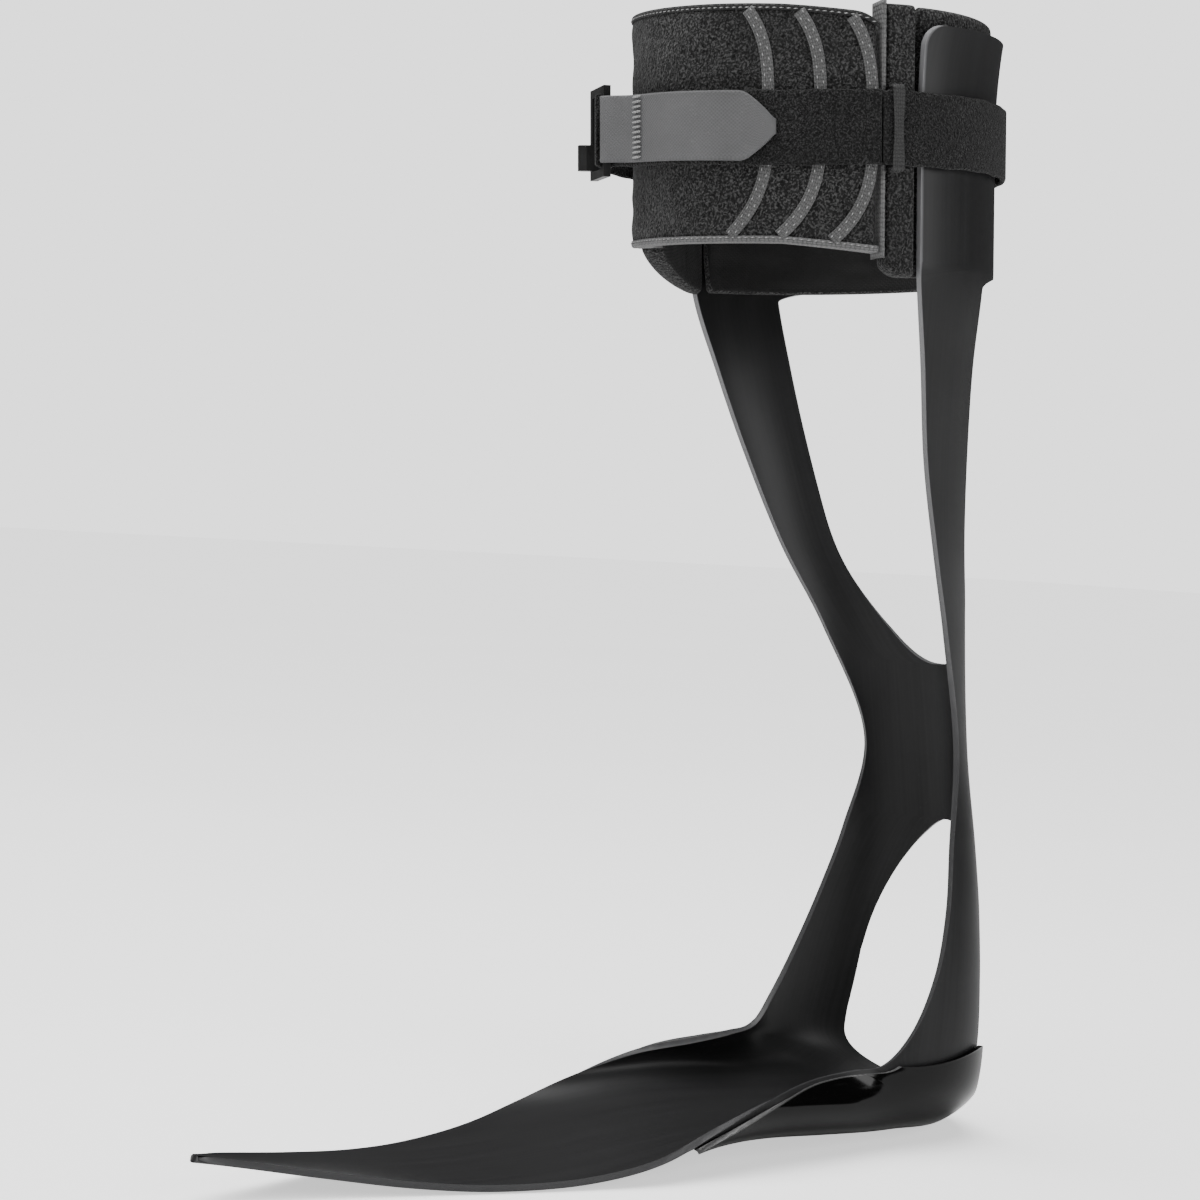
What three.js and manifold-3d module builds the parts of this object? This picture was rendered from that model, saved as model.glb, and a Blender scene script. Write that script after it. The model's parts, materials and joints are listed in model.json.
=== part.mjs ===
// Ankle foot orthosis: a carbon shell with an open heel and two calf struts, a glossy heel
// cover, a padded calf cuff, and a strap that closes on a hook buckle.
// Millimetres, +Z up, toes point to -Y, the wearer's left is +X. The origin is the middle of
// the worn flat that the heel rests on.
import * as THREE from 'three';
import * as BufferGeometryUtils from 'three/addons/utils/BufferGeometryUtils.js';
import Module from 'manifold-3d';

const wasm = await Module();
wasm.setup();

// ---------------------------------------------------------------- driving sizes
const GAP = 0.3;                 // air left between pieces that touch
const LAMINATE = 2.0;            // carbon shell thickness
const COVER = 1.5;               // heel cover thickness

// The cuff has its own axis: angle beta is counted from the rear towards +X, h runs up the axis.
const CUFF_BASE = new THREE.Vector3(0, -49, 306);
const CUFF_TILT = THREE.MathUtils.degToRad(4.2);
const CUFF_TOP = 37, CUFF_LOW = -34;
const SHELL_R = 55.3, SHELL_FLARE = 2.2, SHELL_FRONT = 96;

const LINER_LOW = -37, LINER_TOP = 43, LINER_END = 96;
const FLAP_START = 97.4, FLAP_END = { near: 109.8, far: 131 }, FLAP_IN = 48.4, FLAP_OUT = 56.6;
const PAD_START = 110.6, PAD_END = 221, PAD_LOW = -27, PAD_TOP = 42, PAD_OUT = 57.2;

const STRAP_R = 58.8, STRAP_T = 1.8, STRAP_LOW = -5, STRAP_TOP = 17;
const STRAP_LEAVES = 183;        // where the closed strap leaves the pad in a straight line
const STRAP_RUN = 25;            // straight length up to the buckle
const FOLD_R = 2.7;              // strap centre line round the buckle bar
const TAB_T = 1.4, TAB_LOW = -4, TAB_TOP = 16.4, TAB_TIP = 140.5;

const STRAP_RISE = 0.068;        // the strap climbs this much per millimetre towards the buckle
const STRAP_LIFT = 4.6;          // its climb at the buckle

const RING_LONG = 13, RING_BAR = 1.15, RING_LOW = -8 + STRAP_LIFT, RING_TOP = 20 + STRAP_LIFT;

const rad = THREE.MathUtils.degToRad;
const V = (x, y, z) => new THREE.Vector3(x, y, z);
const mix = (a, b, t) => a + (b - a) * t;
const clamp = THREE.MathUtils.clamp;

// ---------------------------------------------------------------- materials
const mat = (name, color, roughness, metalness) =>
  Object.assign(new THREE.MeshStandardMaterial({ color, roughness, metalness }), { name });
const carbon = mat('carbon', 0x2b2b2d, 0.42, 0.1);
const gloss = mat('gloss_resin', 0x0a0a0b, 0.12, 0.0);
const loop = mat('loop_fabric', 0x121213, 0.95, 0);
const band = mat('seam_tape', 0x2a2a2c, 0.8, 0);
const foam = mat('foam', 0x1c1c1e, 0.9, 0);
const lining = mat('lining', 0x161617, 0.7, 0);
const webbing = mat('webbing', 0x101011, 0.9, 0);
const hook = mat('hook_tape', 0x4a4b4d, 0.75, 0);
const thread = mat('thread', 0x8a8b8d, 0.7, 0);
const plastic = mat('buckle_plastic', 0x0e0e0f, 0.35, 0);

const part = new THREE.Group();
part.name = 'ankle_foot_orthosis';

function addMesh(name, geometry, material) {
  const mesh = new THREE.Mesh(geometry, material);
  mesh.name = name;
  part.add(mesh);
  return mesh;
}

// ---------------------------------------------------------------- solids from sheets
// A sheet is a list of vertices, each with an inner and an outer point, and the triangles
// between them. The solid has both faces and a wall along every free edge.
function solidFromSheet(inner, outer, triangles) {
  const n = inner.length, index = [], used = new Map();
  const key = (a, b) => a * 100003 + b;
  for (const [a, b, c] of triangles) {
    index.push(a, b, c, n + a, n + c, n + b);
    for (const [p, q] of [[a, b], [b, c], [c, a]]) used.set(key(p, q), [p, q]);
  }
  for (const [p, q] of used.values()) {
    if (!used.has(key(q, p))) index.push(q, p, n + p, q, n + p, n + q);
  }
  const position = [...outer, ...inner].flatMap(p => [p.x, p.y, p.z]);
  return facingOut(position, index);
}

function facingOut(position, index) {
  if (volume(position, index) < 0) {
    for (let i = 0; i < index.length; i += 3) [index[i], index[i + 1]] = [index[i + 1], index[i]];
  }
  const g = new THREE.BufferGeometry();
  g.setAttribute('position', new THREE.Float32BufferAttribute(position, 3));
  g.setIndex(index);
  g.computeVertexNormals();
  return g;
}

function volume(p, index) {
  let sum = 0;
  for (let i = 0; i < index.length; i += 3) {
    const [a, b, c] = [0, 1, 2].map(k => V(...p.slice(3 * index[i + k], 3 * index[i + k] + 3)));
    sum += a.dot(b.cross(c));
  }
  return sum / 6;
}

// three.js geometry to a Manifold solid for booleans, and back with each point placed by place().
function toManifold(g) {
  g.deleteAttribute('normal');
  g.deleteAttribute('uv');
  const m = BufferGeometryUtils.mergeVertices(g, 1e-4);
  return new wasm.Manifold(new wasm.Mesh({
    numProp: 3,
    vertProperties: new Float32Array(m.attributes.position.array),
    triVerts: new Uint32Array(m.index.array),
  }));
}

function fromManifold(solid, place = V) {
  const mesh = solid.getMesh(), p = mesh.vertProperties;
  const position = [];
  for (let i = 0; i < p.length; i += 3) {
    const at = place(p[i], p[i + 1], p[i + 2]);
    position.push(at.x, at.y, at.z);
  }
  return facingOut(position, [...mesh.triVerts]);
}

// A slab over a grid: at(u, v, w) gives a point, u and v from 0 to 1, w 0 inside and 1 outside.
function slab(nu, nv, at) {
  const inner = [], outer = [], triangles = [];
  for (let i = 0; i <= nu; i++) {
    for (let j = 0; j <= nv; j++) {
      inner.push(at(i / nu, j / nv, 0));
      outer.push(at(i / nu, j / nv, 1));
      if (i < nu && j < nv) {
        const a = i * (nv + 1) + j, b = a + nv + 1;
        triangles.push([a, b, b + 1], [a, b + 1, a + 1]);
      }
    }
  }
  return solidFromSheet(inner, outer, triangles);
}

// ---------------------------------------------------------------- the cuff's own frame
const CUFF_UP = V(0, -Math.sin(CUFF_TILT), Math.cos(CUFF_TILT));
const CUFF_REAR = V(0, Math.cos(CUFF_TILT), Math.sin(CUFF_TILT));

// Plane coordinates (x to the wearer's left, y to the rear) at height h of the cuff.
const cuffXY = (x, y, h) =>
  CUFF_BASE.clone().addScaledVector(CUFF_UP, h).addScaledVector(CUFF_REAR, y).add(V(x, 0, 0));
const cuff = (beta, r, h) => cuffXY(r * Math.sin(rad(beta)), r * Math.cos(rad(beta)), h);

// The shell's middle radius opens out towards the top rim.
const shellR = h => SHELL_R + SHELL_FLARE * clamp((h - 8) / (CUFF_TOP - 8), 0, 1) ** 2;

// ---------------------------------------------------------------- carbon shell
// Each section is the round arc through the two front edges and the rear (or sole) line.
// Stations below the cuff: half width x, front edge y and z, rear line y and z.
const STATIONS = [
  [50.0, -43.6, 244.0, 7.0, 246.0],
  [43.4, -33.8, 215.6, 9.0, 217.0],
  [37.4, -21.8, 188.0, 11.5, 188.5],
  [29.7, -7.8, 161.4, 16.0, 161.5],
  [22.1, 7.2, 124.0, 23.0, 124.0],
  [26.1, 3.9, 94.0, 28.0, 94.0],
  [30.7, -0.2, 73.5, 30.2, 71.0],
  [34.0, -6.6, 54.0, 31.8, 49.0],
  [34.6, -16.0, 36.5, 32.0, 28.0],
  [32.6, -25.0, 27.2, 30.0, 12.0],
  [30.0, -37.5, 25.4, 19.0, 3.2],
  [30.2, -52.0, 23.8, -3.0, 2.5],
  [34.5, -71.5, 20.8, -33.0, 3.8],
  [37.4, -94.0, 14.2, -69.0, 6.2],
  [37.8, -115.0, 6.8, -105.0, 4.6],
  [33.4, -136.0, 2.6, -133.0, 2.2],
  [26.2, -162.0, 1.4, -162.0, 1.1],
  [19.0, -185.0, 2.9, -187.0, 2.5],
  [11.0, -211.0, 6.6, -212.5, 6.2],
  [1.8, -244.0, 12.2, -245.4, 11.9],
];
const cuffEdge = h => cuff(SHELL_FRONT, shellR(h), h);
const cuffRear = h => cuff(0, shellR(h), h);
const CUFF_ROWS = 2;             // cuff heights that lead the curves into the struts
const frontCurve = new THREE.CatmullRomCurve3([
  cuffEdge(-10), cuffEdge(CUFF_LOW), ...STATIONS.map(s => V(s[0], s[1], s[2]))], false, 'centripetal');
const rearCurve = new THREE.CatmullRomCurve3([
  cuffRear(-10), cuffRear(CUFF_LOW), ...STATIONS.map(s => V(0, s[3], s[4]))], false, 'centripetal');
const SPANS = STATIONS.length + CUFF_ROWS - 1;
const MAX_WRAP = rad(117);       // the heel closes in no further than this past the side
const softMin = (a, b, k) => -k * Math.log(Math.exp(-a / k) + Math.exp(-b / k));

// t counts stations: t below 1 lies in the cuff, t = 1 is the cuff's lower end, 2 is the first
// row of STATIONS.
function section(t) {
  if (t < 1) {
    const h = mix(CUFF_TOP, CUFF_LOW, t);
    return { edge: cuffEdge(h), rear: cuffRear(h) };
  }
  return { edge: frontCurve.getPoint(t / SPANS), rear: rearCurve.getPoint(t / SPANS) };
}

// A point of the shell's middle surface: v is -1 and 1 at the front edges and 0 at the rear line.
function shellPoint(t, v) {
  const { edge, rear } = section(t);
  const middle = V(0, edge.y, edge.z);
  const depth = Math.max(middle.distanceTo(rear), 0.2);
  const wrap = softMin(2 * Math.atan(depth / edge.x), MAX_WRAP, 0.06);
  const side = edge.x * Math.sin(wrap * v) / Math.sin(wrap);
  const forward = (1 - Math.cos(wrap * v)) / (1 - Math.cos(wrap));
  return V(side, 0, 0).add(rear.clone().lerp(middle, forward));
}

function shellNormal(t, v) {
  const e = 0.01, v0 = clamp(v, -1 + e, 1 - e), t0 = clamp(t, e, SPANS - e);
  const along = shellPoint(t0 + e, v0).sub(shellPoint(t0 - e, v0));
  const across = shellPoint(t0, v0 + e).sub(shellPoint(t0, v0 - e));
  return across.cross(along).normalize();
}

const shellAt = (t, v, offset) => shellPoint(t, v).addScaledVector(shellNormal(t, v), offset);

// Find t where the rear line passes height z, between two stations.
function stationAtRearZ(z, low, high) {
  for (let i = 0; i < 40; i++) {
    const t = (low + high) / 2;
    if (section(t).rear.z > z) low = t; else high = t;
  }
  return (low + high) / 2;
}

// Rear openings, given by the rear line's height at their ends and their half width in v.
const UPPER = { top: stationAtRearZ(278, 0, 1), low: stationAtRearZ(151, 5, 6), width: 0.655 };
const HEEL = { top: stationAtRearZ(99, 6, 7), low: stationAtRearZ(8, 10, 12), width: 0.575 };
const UPPER_TOP_ROUND = 0.2, UPPER_LOW_ROUND = 1.7, HEEL_TOP_ROUND = 1.9, HEEL_LOW_ROUND = 0.95;

// Round end of an opening: 0 at the end and 1 past the rounded stretch.
const roundEnd = (d, length, power) => {
  const k = clamp(1 - d / length, 0, 1);
  return (1 - k ** power) ** (1 / power);
};

function openingHalf(t) {
  if (t > UPPER.top && t < UPPER.low) {
    return UPPER.width * roundEnd(t - UPPER.top, UPPER_TOP_ROUND, 2)
      * roundEnd(UPPER.low - t, UPPER_LOW_ROUND, 2.4);
  }
  if (t > HEEL.top && t < HEEL.low) {
    const taper = mix(1, 0.86, clamp((t - 9) / 2, 0, 1));
    return HEEL.width * taper * roundEnd(t - HEEL.top, HEEL_TOP_ROUND, 2)
      * roundEnd(HEEL.low - t, HEEL_LOW_ROUND, 2.4);
  }
  return 0;
}

// The front edge is cut back in a round corner at the top rim.
const TOP_ROUND = 0.09;
const frontLimit = t => 1 - 0.075 * (1 - roundEnd(t, TOP_ROUND, 2));

// Rows of t from a to b in n steps, drawn together at the ends that are marked.
function rows(a, b, n, closeA, closeB) {
  const out = [];
  for (let i = 0; i <= n; i++) {
    const s = i / n;
    let k = s;
    if (closeA && closeB) k = (1 - Math.cos(Math.PI * s)) / 2;
    else if (closeA) k = 1 - Math.cos(Math.PI * s / 2);
    else if (closeB) k = Math.sin(Math.PI * s / 2);
    out.push(mix(a, b, k));
  }
  return out;
}

function joinRows(...lists) {
  const out = [];
  for (const t of lists.flat()) if (!out.length || t - out.at(-1) > 1e-6) out.push(t);
  return out;
}

// The two halves of the sheet share the rear line wherever there is no opening.
function splitSheet(ts, columns, halfOpening, at, limit) {
  const inner = [], outer = [], triangles = [], ids = [];
  const add = (t, v) => {
    const [a, b] = at(t, v);
    inner.push(a);
    outer.push(b);
    return inner.length - 1;
  };
  for (const t of ts) {
    const open = halfOpening(t), end = limit(t), row = {};
    for (const side of [1, -1]) {
      row[side] = [];
      for (let j = 0; j <= columns; j++) {
        const shared = j === 0 && open === 0 && side === -1;
        row[side].push(shared ? row[1][0] : add(t, side * mix(open, end, j / columns)));
      }
    }
    ids.push(row);
  }
  for (let i = 0; i + 1 < ts.length; i++) {
    for (const side of [1, -1]) {
      for (let j = 0; j < columns; j++) {
        const a = ids[i][side][j], b = ids[i][side][j + 1];
        const c = ids[i + 1][side][j + 1], d = ids[i + 1][side][j];
        if (side > 0) triangles.push([a, b, c], [a, c, d]);
        else triangles.push([a, c, b], [a, d, c]);
      }
    }
  }
  return solidFromSheet(inner, outer, triangles);
}

function carbonShell() {
  const ts = joinRows(
    rows(0, TOP_ROUND, 4, true, false),
    rows(TOP_ROUND, UPPER.top, 5, false, false),
    rows(UPPER.top, UPPER.top + UPPER_TOP_ROUND, 6, true, false),
    rows(UPPER.top + UPPER_TOP_ROUND, UPPER.low - UPPER_LOW_ROUND, 8, false, false),
    rows(UPPER.low - UPPER_LOW_ROUND, UPPER.low, 11, false, true),
    rows(UPPER.low, HEEL.top, 7, false, false),
    rows(HEEL.top, HEEL.top + HEEL_TOP_ROUND, 9, true, false),
    rows(HEEL.top + HEEL_TOP_ROUND, HEEL.low - HEEL_LOW_ROUND, 7, false, false),
    rows(HEEL.low - HEEL_LOW_ROUND, HEEL.low, 6, false, true),
    rows(HEEL.low, SPANS, 30, false, false));
  const at = (t, v) => [shellAt(t, v, -LAMINATE / 2), shellAt(t, v, LAMINATE / 2)];
  return splitSheet(ts, 9, openingHalf, at, frontLimit);
}

// ---------------------------------------------------------------- heel cover
// It lies outside the shell. Its rim follows the front edge along the foot, drops across the
// ankle wings and ends at the heel opening. Its lowest stretch is worn flat to stand on.
const COVER_START = 10.05, COVER_WING = 1.0, COVER_FRONT = 15.45;

function heelCover() {
  const ts = joinRows(
    rows(COVER_START, HEEL.low - HEEL_LOW_ROUND * 0.6, 3, false, false),
    rows(HEEL.low - HEEL_LOW_ROUND * 0.6, HEEL.low, 6, false, true),
    rows(HEEL.low, COVER_FRONT, 16, false, false));
  const near = LAMINATE / 2 + 0.45;
  const lean = (t, v) => {
    const open = openingHalf(t), across = (Math.abs(v) - open) / (1 - open);
    const down = clamp(1 - (t - COVER_START) / 3.4, 0, 1);
    return t + COVER_WING * down * across ** 1.4;
  };
  const at = (t, v) => {
    const s = lean(t, v);
    return [shellAt(s, v, near), shellAt(s, v, near + COVER)];
  };
  const sole = new THREE.BoxGeometry(200, 200, 10);
  sole.translate(0, 0, -5);
  return fromManifold(toManifold(splitSheet(ts, 9, openingHalf, at, () => 0.955))
    .subtract(toManifold(sole)));
}

// ---------------------------------------------------------------- calf liner, inside the shell
// It draws in a little at its lower edge, where the struts lean inwards.
const linerOut = h => shellR(h) - LAMINATE / 2 - 0.55 - 0.14 * Math.max(0, -26 - h);
const HOOK_T = 0.9, BACKING_T = 0.8, FOAM_T = 3.4, LINING_T = 0.8;
const layers = [
  ['liner_backing', BACKING_T, loop], ['liner_foam', FOAM_T, foam], ['liner_face', LINING_T, lining]];

function arcSlab(nu, nv, b0, b1, h0, h1, rIn, rOut) {
  return slab(nu, nv, (u, v, w) => {
    const h = mix(h0, h1, v);
    return cuff(mix(b0, b1, u), w ? rOut(h) : rIn(h), h);
  });
}

function calfLiner() {
  for (const [name, beta] of [['near', 80], ['far', -80], ['rear', 0]]) {
    addMesh(`hook_patch_${name}`, arcSlab(5, 4, beta - 12, beta + 12, -18, 34,
      h => linerOut(h) - HOOK_T, linerOut), hook);
  }
  let outer = HOOK_T + GAP;
  for (const [name, thick, material] of layers) {
    const top = outer;
    addMesh(name, arcSlab(32, 5, -LINER_END, LINER_END, LINER_LOW, LINER_TOP,
      h => linerOut(h) - top - thick, h => linerOut(h) - top), material);
    outer += thick + GAP;
  }
}

// The flaps carry the liner past the front edge of each strut. The near one has a round lower
// corner, and the far one is longer and rises to meet the end of the front pad.
function flap(side) {
  const name = side > 0 ? 'near' : 'far', last = FLAP_END[name];
  const [rise, reach, power] = side > 0 ? [9, 8, 2] : [14, last - FLAP_START, 1.2];
  const low = beta => LINER_LOW + rise * (1 - roundEnd(last - beta, reach, power));
  const columns = side > 0 ? 6 : 12;
  const shape = (b0, b1, rIn, rOut, grow) => slab(b1 - b0 > 3 ? columns : 2, 6, (u, v, w) => {
    const beta = mix(b0, b1, u), h = mix(low(beta) - grow, LINER_TOP + grow, v);
    return cuff(side * beta, w ? rOut : rIn, h);
  });
  addMesh(`flap_${name}`, shape(FLAP_START, last - 1.5, FLAP_IN, FLAP_OUT, 0), loop);
  addMesh(`flap_binding_${name}`, shape(last - 1.2, last, FLAP_IN, FLAP_OUT + 0.4, 0.4), band);
}

// ---------------------------------------------------------------- front pad
const FACE_T = 0.9, PAD_FOAM_T = 3.8, PAD_LINING_T = 0.8, TAPE_T = 1.3, BIND = 1.9;

// The pad lies a little askew: it climbs towards the buckle, and its top edge drops at the flap.
const padLift = beta => (beta > 140 ? 0.07 : 0.1) * (beta - 140);
const padTop = beta => PAD_TOP + padLift(beta) - 3 * clamp((118 - beta) / 8, 0, 1) ** 2;
const padLow = beta => PAD_LOW + padLift(beta) * (beta > 140 ? 0.5 : 1);

// Three curved seams cross the face. Each is upright behind the strap and sweeps away from the
// flap at both ends, more at the lower one.
const SEAM_MID = 8;
const seamBeta = (k, h) => {
  const away = Math.abs(h - SEAM_MID) / 34;
  return 143.5 - 15.4 * k + (h > SEAM_MID ? 6.5 * away ** 4 : 11 * away ** 3);
};
const SEAM_HALF = 1.9;           // half width of a seam tape, in degrees
const bounds = k => h => clamp(seamBeta(k, h), PAD_START + SEAM_HALF + 0.4, PAD_END);

// A patch of one pad layer between the edges b0 and b1, which are given along the pad's height.
function padSlab(nu, nv, b0, b1, rIn, rOut, cut) {
  return slab(nu, nv, (u, v, w) => {
    const along = mix(PAD_LOW, PAD_TOP, v), beta = mix(b0(along), b1(along), u);
    return cuff(beta, w ? rOut : rIn, mix(padLow(beta) + cut, padTop(beta) - cut, v));
  });
}

function frontPad() {
  const start = () => PAD_START, end = () => PAD_END;
  const cut = BIND + GAP, step = GAP / PAD_OUT * 180 / Math.PI;
  const side = (k, s) => h => bounds(k)(h) + s * (SEAM_HALF + step / 2);
  const faceIn = PAD_OUT - FACE_T;
  const panels = [[side(0, 1), end], [side(1, 1), side(0, -1)], [side(2, 1), side(1, -1)]];
  panels.forEach(([a, b], i) => addMesh(`pad_panel_${i + 1}`,
    padSlab(i ? 4 : 12, 12, a, b, faceIn, PAD_OUT, cut), loop));
  [0, 1, 2].forEach(k => addMesh(`seam_tape_${k + 1}`, padSlab(2, 12,
    h => bounds(k)(h) - SEAM_HALF + step / 2, h => bounds(k)(h) + SEAM_HALF - step / 2,
    faceIn, faceIn + TAPE_T, cut), band));
  const foamOut = faceIn - GAP, liningOut = foamOut - PAD_FOAM_T - GAP;
  addMesh('pad_foam', padSlab(18, 4, start, end, foamOut - PAD_FOAM_T, foamOut, cut), foam);
  addMesh('pad_lining',
    padSlab(18, 4, start, end, liningOut - PAD_LINING_T, liningOut, cut), lining);
  const bindIn = liningOut - PAD_LINING_T, bindOut = PAD_OUT + 0.2;
  const binding = (edge, sign) => slab(20, 1, (u, v, w) => {
    const beta = mix(PAD_START, PAD_END, u);
    return cuff(beta, w ? bindOut : bindIn, edge(beta) - sign * BIND * v);
  });
  addMesh('pad_binding_low', binding(padLow, -1), band);
  addMesh('pad_binding_top', binding(padTop, 1), band);
}

// ---------------------------------------------------------------- strap
// Lines in the cuff's plane: a path gives a point and its outward normal for each s in 0..1.
const ringAt = (beta, r) => [r * Math.sin(rad(beta)), r * Math.cos(rad(beta))];
const OUT1 = ringAt(STRAP_LEAVES, 1), ALONG1 = [OUT1[1], -OUT1[0]];
const BAR = [0, 1].map(i => OUT1[i] * (STRAP_R + FOLD_R) + ALONG1[i] * STRAP_RUN);
const BAR_BETA = THREE.MathUtils.radToDeg(Math.atan2(BAR[0], BAR[1])) + 360;
const BAR_R = Math.hypot(...BAR);
const OUT2 = ringAt(BAR_BETA - 6, 1), ALONG2 = [OUT2[1], -OUT2[0]];   // the buckle ring's own axes

// The strap's end piece: round the pad, straight to the buckle bar and half round the bar.
function frontPath() {
  const path = [];
  for (let i = 0; i <= 20; i++) {
    const beta = mix(PAD_START + 0.2, STRAP_LEAVES, i / 20);
    path.push([...ringAt(beta, STRAP_R), ...ringAt(beta, 1)]);
  }
  for (let i = 1; i <= 3; i++) {
    path.push([0, 1].map(k => OUT1[k] * STRAP_R + ALONG1[k] * STRAP_RUN * i / 3).concat(OUT1));
  }
  for (let i = 1; i <= 10; i++) {
    const a = Math.PI * i / 10, n = [0, 1].map(k => OUT1[k] * Math.cos(a) - ALONG1[k] * Math.sin(a));
    path.push([BAR[0] - FOLD_R * n[0], BAR[1] - FOLD_R * n[1], n[0], n[1]]);
  }
  return path;
}

// The strap's long piece: from the keeper round the back and straight to the hook plate.
const HOOK_END = [0, 1].map(k => BAR[k] + ALONG2[k] * (RING_LONG + 3.8) - OUT2[k] * 2.6);
const HOOK_BETA = THREE.MathUtils.radToDeg(Math.atan2(HOOK_END[0], HOOK_END[1]));
const BACK_LEAVES = HOOK_BETA + THREE.MathUtils.radToDeg(Math.acos(STRAP_R / Math.hypot(...HOOK_END)));

function backPath() {
  const path = [];
  for (let i = 0; i <= 40; i++) {
    const beta = mix(PAD_START - 0.4, BACK_LEAVES, i / 40);
    path.push([...ringAt(beta, STRAP_R), ...ringAt(beta, 1)]);
  }
  const n = ringAt(BACK_LEAVES, 1), last = ringAt(BACK_LEAVES, STRAP_R);
  for (let i = 1; i <= 3; i++) path.push([...[0, 1].map(k => mix(last[k], HOOK_END[k], i / 3)), ...n]);
  return path;
}

// Running length along a path.
function running(path) {
  const out = [0];
  for (let i = 1; i < path.length; i++) {
    out.push(out[i - 1] + Math.hypot(path[i][0] - path[i - 1][0], path[i][1] - path[i - 1][1]));
  }
  return out;
}

// The strap's climb at distance s from the buckle, along the strap.
const strapLift = s => Math.max(STRAP_LIFT - STRAP_RISE * s, 0);

function ribbon(path, thick, low, top, nv = 1) {
  const count = path.length - 1;
  return slab(count, nv, (u, v, w) => {
    const [x, y, nx, ny] = path[Math.round(u * count)], off = (w - 0.5) * thick;
    return cuffXY(x + nx * off, y + ny * off, mix(low(u), top(u), v));
  });
}

// The tab lies on the strap, from TAB_BACK short of the fold's end to its pointed tip. It peels
// about a line 1 mm short of the fold's end.
const TAB_BACK = 1.6;
function tabPath(lift, from, to) {
  const path = [], high = STRAP_R + 2 * FOLD_R, low = STRAP_R + STRAP_T / 2 + GAP + TAB_T / 2;
  const straight = STRAP_RUN - TAB_BACK, arc = rad(STRAP_LEAVES - TAB_TIP) * low, all = straight + arc;
  const n = 26;
  for (let i = 0; i <= n; i++) {
    const s = mix(from, to, i / n) * all;
    if (s < straight) {
      const fall = clamp(s / 13, 0, 1), r = mix(high, low, fall * fall * (3 - 2 * fall)) + lift;
      path.push([0, 1].map(k => OUT1[k] * r + ALONG1[k] * (straight - s)).concat(OUT1));
    } else {
      const beta = STRAP_LEAVES - THREE.MathUtils.radToDeg((s - straight) / low);
      path.push([...ringAt(beta, low + lift), ...ringAt(beta, 1)]);
    }
  }
  return path;
}

function strapParts() {
  for (const [name, path] of [['strap_back', backPath()], ['strap_front', frontPath()]]) {
    const run = running(path), all = run.at(-1);
    const lift = u => strapLift(Math.max(all - run[Math.round(u * (path.length - 1))] - 8, 0));
    addMesh(name, ribbon(path, STRAP_T, u => STRAP_LOW + lift(u), u => STRAP_TOP + lift(u)), webbing);
  }
  const path = tabPath(0, 0, 1), run = running(path);
  const middle = u => (TAB_LOW + TAB_TOP) / 2 + strapLift(run[Math.round(u * (path.length - 1))]);
  const half = (TAB_TOP - TAB_LOW) / 2;
  const width = u => half * (u < 0.86 ? 1 : mix(0.13, 1, ((1 - u) / 0.14) ** 0.75));
  addMesh('hook_tab', ribbon(path, TAB_T, u => middle(u) - width(u), u => middle(u) + width(u)), hook);
  // Bar tacks that sew the tab down, one under the other on a narrow strip.
  const tacks = 12, strip = tabPath(TAB_T / 2 + GAP + 0.25, 0.2, 0.25);
  const shape = (u, v, w) => {
    const [x, y, nx, ny] = strip[Math.round(u * 4) * 6], k = Math.round(v * tacks * 4) % 4;
    const off = w ? (k === 1 || k === 2 || k === 3 ? 0.45 : 0.12) : -0.2;
    return cuffXY(x + nx * off, y + ny * off, mix(TAB_LOW + 0.6, TAB_TOP - 0.6, v) + strapLift(12));
  };
  addMesh('bar_tacks', slab(4, tacks * 4, shape), thread);
}

// The keeper is a staple over the strap, with both feet on the near flap.
function keeper() {
  const over = STRAP_R + STRAP_T / 2 + GAP, foot = FLAP_OUT + GAP, thick = 0.9, edge = 1.1;
  const profile = [
    [foot, STRAP_LOW - GAP - edge], [over + thick, STRAP_LOW - GAP - edge],
    [over + thick, STRAP_TOP + GAP + edge], [foot, STRAP_TOP + GAP + edge]];
  const inside = [
    [foot, STRAP_LOW - GAP], [over, STRAP_LOW - GAP], [over, STRAP_TOP + GAP], [foot, STRAP_TOP + GAP]];
  addMesh('strap_keeper', slab(5, 3, (u, v, w) => {
    const [r, h] = (w ? profile : inside)[Math.round(v * 3)];
    return cuff(mix(104.0, 107.9, u), r, h);
  }), band);
}

// ---------------------------------------------------------------- hook buckle
// Closed outlines in the buckle's plane (along the ring, outwards) are carried up the axis.
function prism(outline, h0, h1) {
  const shape = new THREE.Shape(outline.map(([x, y]) => new THREE.Vector2(x, y)));
  const g = new THREE.ExtrudeGeometry(shape, { depth: h1 - h0, bevelEnabled: false });
  g.translate(0, 0, h0);
  return g;
}

// The buckle's plane is placed at the bar, square to OUT2.
const atBuckle = solid => fromManifold(solid, (x, y, z) => cuffXY(
  BAR[0] + ALONG2[0] * x + OUT2[0] * y, BAR[1] + ALONG2[1] * x + OUT2[1] * y, z));

// The ring is a plate with a window, and a finger lobe that turns outwards at its lower end.
function buckleRing() {
  const b = RING_BAR, x0 = -b, x1 = RING_LONG + b, rail = 2.6;
  const plate = (a, c, low, top) =>
    toManifold(prism([[a, -b], [c, -b], [c, b], [a, b]], low, top));
  const lobe = toManifold(prism([
    [x1 - 2 * b, 0], [x1, 0], [x1 + 0.6, 3.6], [x1 + 0.1, 5.2], [x1 - 1.6, 5.2], [x1 - 2 * b, 3]],
    RING_LOW + 3, RING_LOW + 11));
  return atBuckle(plate(x0, x1, RING_LOW, RING_TOP)
    .subtract(toManifold(prism([[x0 + 2 * b, -5], [x1 - 2 * b, -5], [x1 - 2 * b, 5], [x0 + 2 * b, 5]],
      RING_LOW + rail, RING_TOP - rail)))
    .add(lobe));
}

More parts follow.
